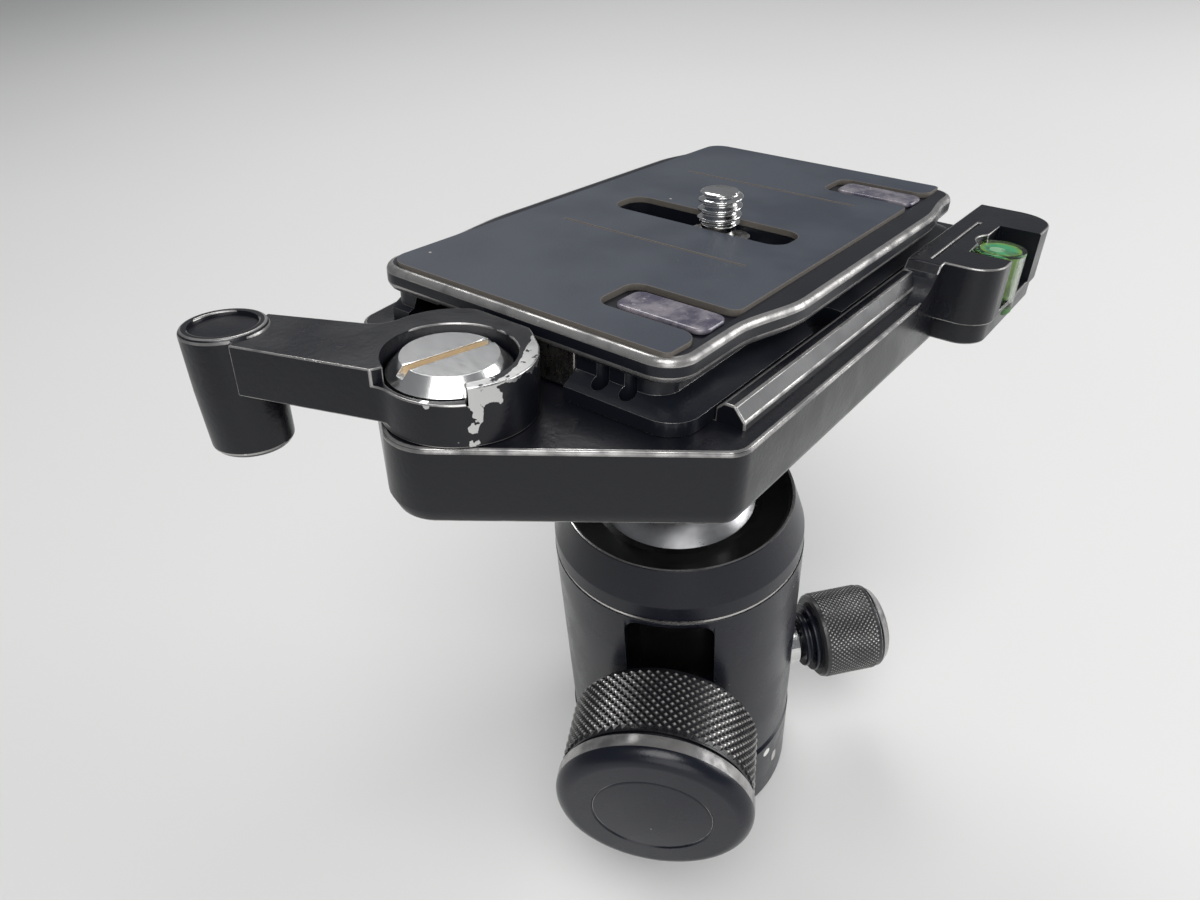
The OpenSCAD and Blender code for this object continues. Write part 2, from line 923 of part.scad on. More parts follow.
module camera_screw() {
    neck = screw_neck_r;
    color("#d5d7da")
    on_plate()
        translate([0, slot_y + screw_y, 0])
            difference() {
                rotate_extrude($fn = 48)
                    polygon([[0, 1.6], [6.9, 1.6], [7.3, 2], [7.3, 4.02], [neck, 4.02],
                             [neck, pad_z1], [thread_14_r, pad_z1],
                             [thread_14_r, screw_top - 0.6],
                             [thread_14_r - 0.6, screw_top], [0, screw_top]]);
                translate([-10, -0.7, 1])
                    cube([20, 1.4, 1.5]);
            }
}

// ---- main locking knob ----
module main_knob_grip() {
    color("#24252b")
    main_face()
        difference() {
            union() {
                knurl_x(0.9, 13.2, main_knob_d / 2, 36, 0.8, 23);
                rod_x(0.6, 1.1, main_knob_d / 2 - 1, 48);
                rod_x(13, 13.9, main_knob_d / 2 - 0.9, 48);
            }
            rod_x(-2, 11, main_shaft_r, 32);
        }
}

module main_knob_cap() {
    cap_r = main_knob_d / 2 + 0.2;
    color("#25272e")
    main_face()
        turned_x(concat([[0, 13.9], [cap_r - 0.3, 13.9], [cap_r, 14.2]],
            [for (t = [0 : 18 : 90]) [cap_r - 2.6 + 2.6 * cos(t), 15.8 + 2.7 * sin(t)]],
            [[cap_r - 6.3, 18.5], [cap_r - 6.6, 18.2], [cap_r - 6.9, 18.5], [0, 18.5]]), 56);
}

module main_knob_shaft() {
    color("#b9bcc0")
    main_axis()
        rod_x(9.2, shell_r + 11, main_shaft_r, 32);
}

module lock_plunger() {
    color("#a7abb0")
    main_axis()
        turned_x([[0, 1], [0.6, 1], [3, 3.4], [3, 8], [0, 8]], 32);
}

// ---- pan locking knob ----
module pan_knob_collar() {
    color("#16171b")
    pan_face()
        difference() {
            turned_x([[0, 3.3], [5.4, 3.3], [5.7, 3.5], [5.7, 4.1], [5, 4.3],
                      [5, 4.8], [6.7, 4.9], [6.9, 5.1], [6.9, 5.6], [6.4, 5.7],
                      [6.4, 6.2], [0, 6.2]], 36);
            rod_x(-2, 9, pan_shaft_r, 24);
        }
}

module pan_knob_grip() {
    color("#2a2b31")
    pan_face()
        difference() {
            union() {
                knurl_x(6.6, 18, pan_knob_d / 2, 24, 0.6, 34);
                rod_x(6.2, 6.8, pan_knob_d / 2 - 0.8, 36);
            }
            rod_x(-2, 14, pan_shaft_r, 24);
        }
}

module pan_knob_cap() {
    color("#3a3c42")
    pan_face()
        turned_x([[0, 18], [pan_knob_d / 2 - 0.2, 18], [pan_knob_d / 2 - 0.3, 18.5],
                  [pan_knob_d / 2 - 1.4, 19.9], [pan_knob_d / 2 - 2.2, 20.4], [0, 20.4]], 36);
}

module pan_knob_shaft() {
    color("#b9bcc0")
    pan_axis()
        rod_x(spindle_r + 5.6, shell_r + 14, pan_shaft_r, 24);
}

module pan_brake_shoe() {
    color("#8f9398")
    pan_axis()
        translate([spindle_r, 0, 0])
            turned_x([[0, -1], [0.3, -1], [1.9, 0.6], [2.4, 1.1], [2.4, 5], [0, 5]], 28);
}

// ---- drawing ----
pan_base();
tripod_bush();
pan_spindle();
retainer_washer();
retainer_screw();
pan_washer();
index_dot();
index_tick();
body_shell();
collar_ring();
collar();
seat_ring();
ball_liner();
cup_spring();
main_knob_bush();
plunger_guide();
pan_knob_bush();
ball_cup();
ball();
stem();
platform();
platform_screw();
lever_screw();
lever_washer();
level_seat();
level_vial();
level_fluid();
level_bubble();
lock_lever();
locking_jaw();
camera_plate();
plate_pad();
grip_insert_near();
grip_insert_far();
screw_carriage();
camera_screw();
main_knob_grip();
main_knob_cap();
main_knob_shaft();
lock_plunger();
pan_knob_collar();
pan_knob_grip();
pan_knob_cap();
pan_knob_shaft();
pan_brake_shoe();
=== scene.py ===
# %% [markdown]
# A small tripod ball head: a turned body with a silver ball in it, a cast
# platform with a lever on top of the ball, and a camera plate clamped in the
# platform. The measured model is loaded first, as a fixed frame. Everything
# made below either gives one of its pieces a finish, or takes its place.

# %% Load the measured model
import bpy, math
from mathutils import Matrix, Vector


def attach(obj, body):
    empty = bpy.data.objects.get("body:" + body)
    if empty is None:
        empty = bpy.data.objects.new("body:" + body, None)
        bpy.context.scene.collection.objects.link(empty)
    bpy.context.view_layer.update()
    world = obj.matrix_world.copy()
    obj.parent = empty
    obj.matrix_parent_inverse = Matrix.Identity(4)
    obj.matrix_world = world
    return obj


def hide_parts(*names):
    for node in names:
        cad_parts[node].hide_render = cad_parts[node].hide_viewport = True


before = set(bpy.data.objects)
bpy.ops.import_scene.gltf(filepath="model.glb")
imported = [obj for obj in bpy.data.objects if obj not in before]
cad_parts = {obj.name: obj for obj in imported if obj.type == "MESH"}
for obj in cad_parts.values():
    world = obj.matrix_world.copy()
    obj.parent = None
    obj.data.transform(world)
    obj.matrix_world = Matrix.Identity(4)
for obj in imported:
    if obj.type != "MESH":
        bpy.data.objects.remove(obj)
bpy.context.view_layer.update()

# %% [markdown]
# Sizes are written in millimetres and turned to metres in one place. The
# platform leans on the ball, so it has its own frame: its origin is on the
# platform's top in the middle of the plate's channel. The plate, the lever's
# screw and hub, the level's vial and the camera screw stand in that one. The
# two knobs have frames of their own too, with Z running outwards from the
# body's face.

# %% Millimetres and the frames of the moving parts
MM = 0.001
LEAN = math.radians(8)
BALL_Z, DECK_Z, BODY_R = 61.6, 48.7, 22.0

# (x, y) of each frame's origin in the frame that carries it
CHANNEL_AT = (-1.1, 1.4)
PLATE_AT = (1.7, 0)
PIVOT_AT = (-50.4, -1.4)
HUB_AT = (-49.6, -1.7)
VIAL_AT = (34.8, -34.9)
SCREW_AT = (0, -3.3)

# Each knob's heading round the body in degrees, and the height of its axis
MAIN_KNOB_AT = (-153.2, 37.4)
PAN_KNOB_AT = (-42, 25.2)


def place(x, y, z=0):
    return Matrix.Translation((x * MM, y * MM, z * MM))


def knob_frame(heading, height):
    turn = Matrix.Rotation(math.radians(heading), 4, "Z")
    return place(0, 0, height) @ turn @ place(BODY_R, 0) @ Matrix.Rotation(math.pi / 2, 4, "Y")


PLATFORM = place(0, 0, BALL_Z) @ Matrix.Rotation(LEAN, 4, "Y") @ place(*CHANNEL_AT, DECK_Z)
PLATE = PLATFORM @ place(*PLATE_AT)
PIVOT = PLATFORM @ place(*PIVOT_AT)
HUB = PLATFORM @ place(*HUB_AT)
VIAL = PLATFORM @ place(*VIAL_AT)
SCREW = PLATE @ place(*SCREW_AT)
MAIN_KNOB = knob_frame(*MAIN_KNOB_AT)
PAN_KNOB = knob_frame(*PAN_KNOB_AT)
print("platform origin:", [round(v, 4) for v in PLATFORM.translation])

# %% [markdown]
# Blender's operators act on whatever is selected, and loading the frame
# leaves it selected. These small helpers start from a clean selection, and
# enter and leave edit mode, so that each piece below is only its own steps.

# %% Helpers for selecting and editing
def only(piece):
    bpy.ops.object.select_all(action="DESELECT")
    bpy.context.view_layer.objects.active = piece
    piece.select_set(True)


def edit(piece, mode="VERT"):
    only(piece)
    bpy.ops.object.mode_set(mode="EDIT")
    bpy.ops.mesh.select_mode(type=mode)
    bpy.ops.mesh.select_all(action="SELECT")


def leave():
    bpy.ops.object.mode_set(mode="OBJECT")


def join(piece, other):
    only(piece)
    other.select_set(True)
    bpy.ops.object.join()


def apply_all(piece):
    only(piece)
    for modifier in list(piece.modifiers):
        bpy.ops.object.modifier_apply(modifier=modifier.name)


def settle(piece, where):
    """Moves a piece from its drawing frame to its place, and applies it."""
    only(piece)
    piece.matrix_world = where @ piece.matrix_world
    bpy.ops.object.transform_apply(location=True, rotation=True, scale=True)
    return piece


# %% [markdown]
# Most of this object is turned on a lathe or milled from a plate. A lathe
# part is half an outline spun round an axis, and a milled part is a closed
# outline given a height, so two drawing helpers serve nearly all of it.

# %% Helpers for drawing outlines
def draw_line(name, points, closed=False):
    """An edge chain through points (x, y, z) in millimetres."""
    bpy.ops.object.select_all(action="DESELECT")
    bpy.ops.mesh.primitive_plane_add(size=MM)
    piece = bpy.context.object
    piece.name = name
    edit(piece)
    bpy.ops.mesh.merge(type="CENTER")
    bpy.ops.transform.translate(value=Vector(points[0]) * MM)
    for a, b in zip(points, points[1:]):
        step = (Vector(b) - Vector(a)) * MM
        bpy.ops.mesh.extrude_vertices_move(TRANSFORM_OT_translate={"value": step})
    if closed:
        bpy.ops.mesh.select_all(action="SELECT")
        bpy.ops.mesh.edge_face_add()
    leave()
    return piece


def turned(name, profile, steps=96, round_by=0.0):
    """A lathe part round Z: profile is a list of (radius, height)."""
    piece = draw_line(name, [(r, 0, z) for r, z in profile])
    edit(piece)
    if round_by:
        bpy.ops.mesh.bevel(offset=round_by * MM, segments=3, affect="VERTICES")
        bpy.ops.mesh.select_all(action="SELECT")
    bpy.ops.mesh.spin(steps=steps, angle=math.tau, center=(0, 0, 0), axis=(0, 0, 1))
    bpy.ops.mesh.select_all(action="SELECT")
    bpy.ops.mesh.remove_doubles(threshold=1e-6)
    bpy.ops.mesh.normals_make_consistent(inside=False)
    leave()
    return piece


def milled(name, outline, z0, z1):
    """A plate part: a closed outline of (x, y), from z0 up to z1."""
    piece = draw_line(name, [(x, y, z0) for x, y in outline], closed=True)
    edit(piece)
    rise = (0, 0, (z1 - z0) * MM)
    bpy.ops.mesh.extrude_region_move(TRANSFORM_OT_translate={"value": rise})
    bpy.ops.mesh.select_all(action="SELECT")
    bpy.ops.mesh.normals_make_consistent(inside=False)
    leave()
    return piece


def arc(x, y, r, start, end, count=8):
    """Points round (x, y), from one angle to another in degrees."""
    step = (end - start) / count
    angles = [math.radians(start + step * i) for i in range(count + 1)]
    return [(x + r * math.cos(a), y + r * math.sin(a)) for a in angles]


def rounded_box(length, width, r, count=6):
    a, b = length / 2 - r, width / 2 - r
    corners = [(a, b, 0), (-a, b, 90), (-a, -b, 180), (a, -b, 270)]
    return [p for x, y, t in corners for p in arc(x, y, r, t, t + 90, count)]


# %% [markdown]
# A cut is a Boolean with a cutter that is thrown away. Rounding comes last:
# the sharp edges are picked by their angle and bevelled, and the new narrow
# faces are marked in an attribute called edge. Paint wears off first there,
# so the finishes read that mark to decide where metal shows, and where a
# pale painted highlight runs along the edge.

# %% Helpers for cutting and rounding
def cut(piece, cutter):
    work = piece.modifiers.new("cut", "BOOLEAN")
    work.operation, work.object, work.solver = "DIFFERENCE", cutter, "EXACT"
    apply_all(piece)
    bpy.data.objects.remove(cutter, do_unlink=True)
    return piece


def mark_edges(piece):
    """Sets the edge attribute to 1 on the faces a bevel put in slot 1."""
    faces = piece.data.polygons
    slots = [0] * len(faces)
    faces.foreach_get("material_index", slots)
    layer = piece.data.attributes.new("edge", "FLOAT", "FACE")
    layer.data.foreach_set("value", [float(slot) for slot in slots])
    faces.foreach_set("material_index", [0] * len(faces))


def mark_faces(piece, test, value=1.0):
    """Raises the edge attribute on faces whose normal and centre (mm) pass a test."""
    for face, mark in zip(piece.data.polygons, piece.data.attributes["edge"].data):
        if test(face.normal, face.center / MM):
            mark.value = max(mark.value, value)


def smooth_below(piece, degrees):
    only(piece)
    bpy.ops.object.shade_smooth_by_angle(angle=math.radians(degrees))


def select_convex(piece, sharper):
    """Selects the sharp edges that stand out, and leaves inner corners alone."""
    faces, owners = piece.data.polygons, {}
    for face in faces:
        for key in face.edge_keys:
            owners.setdefault(key, []).append(face)
    for line in piece.data.edges:
        pair = owners[line.key]
        line.select = False
        if len(pair) == 2:
            one, two = pair
            sharp = one.normal.angle(two.normal, 0) > math.radians(sharper)
            line.select = sharp and (two.center - one.center).dot(one.normal) < 0


def round_edges(piece, width, sharper=32, segments=3, outer_only=False):
    """Bevels the edges that turn by more than sharper degrees, and marks the new faces."""
    piece.data.materials.clear()
    for slot in range(2):
        piece.data.materials.append(None)
    piece.data.polygons.foreach_set("material_index", [0] * len(piece.data.polygons))
    edit(piece, "EDGE")
    bpy.ops.mesh.select_all(action="DESELECT")
    if outer_only:
        leave()
        select_convex(piece, sharper)
        bpy.ops.object.mode_set(mode="EDIT")
    else:
        bpy.ops.mesh.edges_select_sharp(sharpness=math.radians(sharper))
    bpy.ops.mesh.bevel(offset=width * MM, segments=segments, clamp_overlap=not outer_only,
                       material=1)
    leave()
    mark_edges(piece)
    smooth_below(piece, 40)
    return piece


def copy_of(node, name, weld=0.002):
    """A copy of a measured piece, with points closer than weld joined."""
    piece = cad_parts[node].copy()
    piece.data = piece.data.copy()
    piece.name = piece.data.name = name
    bpy.context.scene.collection.objects.link(piece)
    piece.parent = None
    piece.matrix_world = Matrix.Identity(4)
    for key in list(piece.keys()):
        del piece[key]
    edit(piece)
    bpy.ops.mesh.remove_doubles(threshold=weld * MM)
    bpy.ops.mesh.customdata_custom_splitnormals_clear()
    bpy.ops.mesh.dissolve_limited(angle_limit=math.radians(0.6), delimit={"NORMAL"})
    leave()
    return piece


def finish_piece(piece, body, slot, material, *nodes):
    """Evens the normals, so that flat faces look flat, and dresses the piece."""
    piece.modifiers.new("even normals", "WEIGHTED_NORMAL").keep_sharp = True
    apply_all(piece)
    piece.data.materials.clear()
    piece.data.materials.append(material)
    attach(piece, body)
    if nodes:
        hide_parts(*nodes)
    print(piece.name, len(piece.data.polygons), "faces")
    return piece


# %% [markdown]
# The camera looks down on the platform from its lever end. Its place and
# turn are given as a heading, a pitch and a small roll, so it can be read
# and changed like a real camera on a stand.

# %% Camera
CAMERA_AT = (-95.0, -63.1, 173.2)
HEADING, PITCH, ROLL = math.radians(40.02), math.radians(38.69), math.radians(-4.684)
FOCAL_MM, SENSOR_MM = 26.43, 36

bpy.ops.object.select_all(action="DESELECT")
bpy.ops.object.camera_add(location=Vector(CAMERA_AT) * MM)
camera = bpy.context.object
camera.data.lens, camera.data.sensor_width = FOCAL_MM, SENSOR_MM
camera.data.clip_start, camera.data.clip_end = 0.005, 20
flat = math.cos(PITCH)
ahead = Vector((flat * math.cos(HEADING), flat * math.sin(HEADING), -math.sin(PITCH)))
right = Vector((math.sin(HEADING), -math.cos(HEADING), 0))
up = right.cross(ahead)
rolled_right = right * math.cos(ROLL) + up * math.sin(ROLL)
rolled_up = up * math.cos(ROLL) - right * math.sin(ROLL)
camera.rotation_euler = Matrix((rolled_right, rolled_up, -ahead)).transposed().to_euler()
bpy.context.scene.camera = camera
print("camera:", [round(v, 4) for v in camera.location])

# %% [markdown]
# Materials are built from nodes. The helpers below keep that short: one adds
# a node with its settings and plugs values or other nodes into it, and the
# others are the sums, ramps and mixes that most finishes need. Every pattern
# reads Object coordinates, which are plain metres here, so a scale of 1000
# is one feature per millimetre.

# %% Helpers for nodes
def plug(tree, socket, value):
    """Joins another node's output to a socket, or sets the socket to a value."""
    if isinstance(value, bpy.types.NodeSocket):
        tree.links.new(value, socket)
    else:
        socket.default_value = value


def add(tree, kind, inputs=(), **settings):
    node = tree.nodes.new(kind)
    for key, value in settings.items():
        setattr(node, key, value)
    for key, value in dict(inputs).items():
        plug(tree, node.inputs[key], value)
    return node


def math_node(tree, operation, a, b=0.0):
    return add(tree, "ShaderNodeMath", {0: a, 1: b}, operation=operation).outputs[0]


def times(tree, a, b):
    return math_node(tree, "MULTIPLY", a, b)


def minus(tree, a, b):
    return math_node(tree, "SUBTRACT", a, b)


def plus(tree, a, b, share=None):
    """a plus b, or a plus share times b."""
    return math_node(tree, "ADD", a, b if share is None else times(tree, b, share))


def ramp(tree, value, low, high, out_low=0.0, out_high=1.0):
    """Maps low..high to out_low..out_high smoothly, and stops at both ends."""
    ends = {"Value": value, "From Min": low, "From Max": high,
            "To Min": out_low, "To Max": out_high}
    return add(tree, "ShaderNodeMapRange", ends, interpolation_type="SMOOTHSTEP").outputs["Result"]


def mix(tree, factor, a, b):
    return add(tree, "ShaderNodeMix", {0: factor, 6: a, 7: b}, data_type="RGBA").outputs[2]


# %% [markdown]
# Noise breaks up every finish, and two more helpers place things: one turns
# Object coordinates into those of a frame from the top of this file, and one
# measures how far a point is from that frame's axis.

# %% Helpers for patterns and places
def noise(tree, where, scale, detail=2.0, rough=0.5):
    shape = {"Vector": where, "Scale": scale, "Detail": detail, "Roughness": rough}
    return add(tree, "ShaderNodeTexNoise", shape).outputs["Fac"]


def sway(tree, where, scale, detail=3.0, rough=0.5):
    """Noise that swings about zero."""
    return minus(tree, noise(tree, where, scale, detail, rough), 0.5)


def stretched(tree, where, scale):
    return add(tree, "ShaderNodeMapping", {"Vector": where, "Scale": scale}).outputs[0]


def in_frame(tree, where, placed):
    back = placed.inverted()
    inputs = {"Vector": where, "Location": back.translation, "Rotation": tuple(back.to_euler())}
    return add(tree, "ShaderNodeMapping", inputs).outputs[0]


def from_axis(tree, local):
    flat = add(tree, "ShaderNodeVectorMath", {0: local, 1: (1, 1, 0)}, operation="MULTIPLY")
    away = add(tree, "ShaderNodeVectorMath", {0: flat.outputs[0]}, operation="LENGTH")
    return away.outputs["Value"]


# %% [markdown]
# A group is one network of nodes that several materials share, and it gives
# plain numbers out. A material starts with its shader and the coordinates,
# reads the edge mark where it needs it, and a height pattern can tilt its
# surface.

# %% Helpers for groups and materials
def new_group(name, takes, gives):
    """A group that takes a Vector and plain numbers, and gives plain numbers."""
    tree = bpy.data.node_groups.new(name, "ShaderNodeTree")
    for title in takes:
        kind = "NodeSocketVector" if title == "Vector" else "NodeSocketFloat"
        tree.interface.new_socket(title, in_out="INPUT", socket_type=kind)
    for title in gives:
        tree.interface.new_socket(title, in_out="OUTPUT", socket_type="NodeSocketFloat")
    print("group:", name, "gives", gives)
    return tree, tree.nodes.new("NodeGroupInput").outputs, tree.nodes.new("NodeGroupOutput").inputs


def grouped(tree, group, inputs):
    return add(tree, "ShaderNodeGroup", inputs, node_tree=group)


def new_material(name):
    material = bpy.data.materials.new(name)
    material.use_nodes = True
    tree = material.node_tree
    where = add(tree, "ShaderNodeTexCoord").outputs["Object"]
    print("material:", name)
    return material, tree, tree.nodes["Principled BSDF"], where


def edge_mark(tree):
    return add(tree, "ShaderNodeAttribute", attribute_name="edge").outputs["Fac"]


def feed(tree, shader, **inputs):
    for key, value in inputs.items():
        plug(tree, shader.inputs[key.replace("_", " ")], value)


def bump(tree, height, strength, distance):
    inputs = {"Height": height, "Strength": strength, "Distance": distance}
    return add(tree, "ShaderNodeBump", inputs).outputs["Normal"]


def rgb(r, g, b):
    return (r, g, b, 1.0)


def shaded(colour, share):
    return rgb(*(c * share for c in colour[:3]))


# %% [markdown]
# Paint on a used tool does not wear evenly. Here and there a chip has gone
# down to the metal. Along every edge a pale colour is painted in too: partly
# for paint rubbed thin, and partly a painted highlight for the shine of the
# rounded edge. The group takes the edge mark and gives both masks, so the
# casting, the body and the plate share one idea of wear and edge highlight
# and differ only in how much.

# %% Group: edge wear and painted edge highlight
edge_wear_and_highlight, takes, gives = new_group("edge wear and highlight", ["Vector", "Edge", "Chips"], ["Polish", "Bare"])
patches = noise(edge_wear_and_highlight, takes["Vector"], 260.0, 3.0)
specks = noise(edge_wear_and_highlight, takes["Vector"], 1900.0, 3.0, 0.6)
# Pale band along every edge: partly rubbed paint, partly a painted highlight.
painted_sheen_and_rub = times(edge_wear_and_highlight, takes["Edge"], ramp(edge_wear_and_highlight, patches, 0.32, 0.62, 0.30, 1.0))
chance = plus(edge_wear_and_highlight, plus(edge_wear_and_highlight, patches, specks, 0.55), takes["Chips"])
bare = times(edge_wear_and_highlight, ramp(edge_wear_and_highlight, chance, 1.02, 1.06),
             ramp(edge_wear_and_highlight, takes["Edge"], 0.35, 0.6))
plug(edge_wear_and_highlight, gives["Polish"], painted_sheen_and_rub)
plug(edge_wear_and_highlight, gives["Bare"], bare)

# %% [markdown]
# Dust shows on black as tiny pale specks, a few to the square centimetre. A
# Voronoi pattern gives scattered points, and a coarse noise thins them out so
# that some places are cleaner than others.

# %% Group: dust
dust, takes, gives = new_group("dust", ["Vector", "Spacing"], ["Specks"])
cells = add(dust, "ShaderNodeTexVoronoi", {"Vector": takes["Vector"], "Scale": takes["Spacing"]})
size = ramp(dust, noise(dust, takes["Vector"], 420.0, 1.0), 0.45, 0.74, 0.0, 0.075)
grain = minus(dust, size, cells.outputs["Distance"])
plug(dust, gives["Specks"], ramp(dust, grain, 0.0, 0.03))

# %% [markdown]
# Cast and blasted surfaces are not mirror smooth. Fine noise in two sizes
# tilts the surface a little and varies its gloss, like the slightly pebbled
# skin under a coat of paint.

# %% Group: casting skin
casting_skin, takes, gives = new_group("casting skin", ["Vector", "Fineness"], ["Height", "Gloss"])
fine = noise(casting_skin, takes["Vector"], takes["Fineness"], 2.0)
broad = noise(casting_skin, takes["Vector"], 130.0, 2.0)
plug(casting_skin, gives["Height"], plus(casting_skin, fine, broad, 0.35))
plug(casting_skin, gives["Gloss"], ramp(casting_skin, broad, 0.3, 0.7))

# %% [markdown]
# The cast lever's hub has lost its paint on the side where it rubs against a
# hand: a bright sickle on the rim, and one run that goes down the side wall.
# A group finds both by the distance from the hub's axis, the turn round it
# and the height. Noise moves all three a little, so that the outline looks
# flaked and not drawn.

# %% Group: hub chips, finding a place on the hub
hub_chips, takes, gives = new_group("hub chips", ["Vector"], ["Bare"])
around = takes["Vector"]
scaled = {0: in_frame(hub_chips, around, HUB), "Scale": 1 / MM}
local = add(hub_chips, "ShaderNodeVectorMath", scaled, operation="SCALE").outputs[0]
x, y, z = add(hub_chips, "ShaderNodeSeparateXYZ", {0: local}).outputs
radius = from_axis(hub_chips, local)
turn = math_node(hub_chips, "DEGREES", math_node(hub_chips, "ARCTAN2", y, x))
turn = plus(hub_chips, turn, sway(hub_chips, around, 620.0), 16.0)
z = plus(hub_chips, z, sway(hub_chips, around, 880.0), 2.2)


def window(tree, value, middle, half, soft):
    """Above 0 within half of middle and below 0 beyond it. A small soft is steep."""
    away = math_node(tree, "ABSOLUTE", minus(tree, value, middle))
    return math_node(tree, "DIVIDE", minus(tree, half, away), soft)


def lowest(tree, *values):
    value = values[0]
    for other in values[1:]:
        value = math_node(tree, "MINIMUM", value, other)
    return value


# %% [markdown]
# Each chip is a window in turn and height. The sickle also has an inner
# edge, which runs outwards to its tip. Where no chip is near, the sum stays
# low and the paint is whole.

# %% Group: hub chips, the chips
# Middle, half width and softness of each chip, in degrees of turn and then
# in millimetres of height
CHIPS = {
    "patch": ((-118.0, 12.0, 3.0), (6.0, 1.25, 0.4)),
    "run": ((-125.0, 4.2, 1.5), (4.0, 2.4, 0.3)),
    "drop": ((-125.5, 3.4, 1.5), (0.70, 0.40, 0.25)),
    "nick": ((-158.5, 3.6, 2.0), (5.1, 0.40, 0.25)),
}
BORE_R = 6.9

inner = plus(hub_chips, ramp(hub_chips, turn, -127.0, -70.0, 8.7, 7.1),
             ramp(hub_chips, turn, -50.0, -22.0, 0.0, 1.5))
shape = lowest(hub_chips, window(hub_chips, turn, -75.0, 52.0, 8.0),
               window(hub_chips, z, 7.3, 0.8, 0.4),
               math_node(hub_chips, "DIVIDE", minus(hub_chips, radius, inner), 0.3))
for turned_by, raised_by in CHIPS.values():
    chip = lowest(hub_chips, window(hub_chips, turn, *turned_by), window(hub_chips, z, *raised_by))
    shape = math_node(hub_chips, "MAXIMUM", shape, chip)
shape = math_node(hub_chips, "MINIMUM", shape, 0.7)
shape = plus(hub_chips, shape, sway(hub_chips, around, 700.0, 4.0, 0.6), 2.2)
shape = plus(hub_chips, shape, sway(hub_chips, around, 1500.0), 1.2)
on_wall = math_node(hub_chips, "GREATER_THAN", radius, BORE_R)
plug(hub_chips, gives["Bare"], times(hub_chips, ramp(hub_chips, shape, 0.28, 0.34), on_wall))
print("hub chips: a sickle,", ", ".join(CHIPS))

# %% [markdown]
# Black paint over a casting. The base is almost black with a breath of blue,
# which is a painted reflection of blue surroundings, and a satin gloss. Along
# the edges a pale, half-metal colour is painted in, partly for paint rubbed
# thin and partly as a painted highlight, and where the chips are the shader
# turns to bright bare metal.

# %% Material: black coats
BARE_METAL = rgb(0.62, 0.62, 0.61)
# Pale edge colour: partly rubbed paint, partly a painted highlight.
EDGE_RUB_AND_SHEEN = rgb(0.40, 0.39, 0.38)
SPECK = rgb(0.30, 0.295, 0.28)


def black_coat(name, colour, roughness, fineness, relief, chips=0.0, specks=260.0, with_hub=False):
    material, tree, shader, where = new_material(name)
    wear_and_sheen = grouped(tree, edge_wear_and_highlight, {"Vector": where, "Edge": edge_mark(tree), "Chips": chips})
    skin = grouped(tree, casting_skin, {"Vector": where, "Fineness": fineness})
    grit = grouped(tree, dust, {"Vector": where, "Spacing": specks}).outputs[0]
    painted_sheen_and_rub, bare = wear_and_sheen.outputs
    if with_hub:
        chipped = grouped(tree, hub_chips, {"Vector": where}).outputs[0]
        bare = math_node(tree, "MAXIMUM", bare, chipped)
    # Painted highlight along the edges, partly rubbed paint.
    colour = mix(tree, painted_sheen_and_rub, colour, EDGE_RUB_AND_SHEEN)
    colour = mix(tree, grit, colour, SPECK)
    colour = mix(tree, bare, colour, BARE_METAL)
    gloss = ramp(tree, skin.outputs["Gloss"], 0.0, 1.0, roughness - 0.04, roughness + 0.05)
    gloss = minus(tree, gloss, times(tree, painted_sheen_and_rub, 0.06))
    gloss = plus(tree, gloss, grit, 0.3)
    paint = times(tree, minus(tree, 1.0, bare), 0.35)
    height = plus(tree, times(tree, skin.outputs["Height"], relief), paint)
    metal = math_node(tree, "MAXIMUM", bare, times(tree, painted_sheen_and_rub, 0.8))
    feed(tree, shader, Base_Color=colour, Roughness=gloss, Metallic=metal,
         Normal=bump(tree, height, 0.55, 0.00012), Specular_IOR_Level=0.38)
    return material


# The breath of blue in the casting, anodised and plate blacks is a painted reflection of blue
# surroundings.
black_casting = black_coat("black casting", rgb(0.0045, 0.005, 0.008), 0.30, 1500.0, 0.42,
                           chips=0.03, with_hub=True)
black_anodised = black_coat("black anodised", rgb(0.005, 0.006, 0.012), 0.27, 2600.0, 0.20,
                            chips=-0.08)
plate_black = black_coat("plate black", rgb(0.006, 0.007, 0.011), 0.33, 2300.0, 0.28,
                         chips=-0.05, specks=200.0)
black_plastic = black_coat("black acetal", rgb(0.004, 0.004, 0.004), 0.22, 900.0, 0.15, chips=-1.0)

# %% [markdown]
# A knurled grip is touched all day, so the tips of its diamonds are rubbed,
# and they are painted pale as well, as a painted highlight, while the grooves
# keep their black. The knurl is modelled further down with the tips marked
# in the edge attribute, and this finish only has to blend between the two.

# %% Material: knurled black
def knurled_coat(name, valley, tip, roughness):
    material, tree, shader, where = new_material(name)
    patches = ramp(tree, noise(tree, where, 320.0, 3.0), 0.3, 0.65, 0.4, 1.0)
    # Pale tips: partly rubbed metal, partly a painted highlight.
    rubbed_and_highlit = times(tree, ramp(tree, edge_mark(tree), 0.4, 1.0), patches)
    fine = noise(tree, where, 2600.0, 2.0)
    feed(tree, shader, Base_Color=mix(tree, rubbed_and_highlit, valley, tip), Metallic=times(tree, rubbed_and_highlit, 0.8),
         Roughness=ramp(tree, fine, 0.3, 0.7, roughness - 0.05, roughness + 0.08),
         Normal=bump(tree, fine, 0.3, 0.00005))
    return material


# The tip colours are partly rubbed metal and partly a painted highlight.
knurl_black = knurled_coat("knurled black", rgb(0.008, 0.008, 0.010), rgb(0.66, 0.64, 0.61), 0.30)
knurl_fine = knurled_coat("fine knurl", rgb(0.030, 0.030, 0.032), rgb(0.60, 0.58, 0.56), 0.32)

# %% [markdown]
# Bare metals differ in how they were made. A turned face has fine rings
# round its axis, a plated part is smooth with a few stains, and a brushed
# one is streaked. The finishes here share one maker, with the grain's
# stretch along each axis and the depth of its scratches as values.

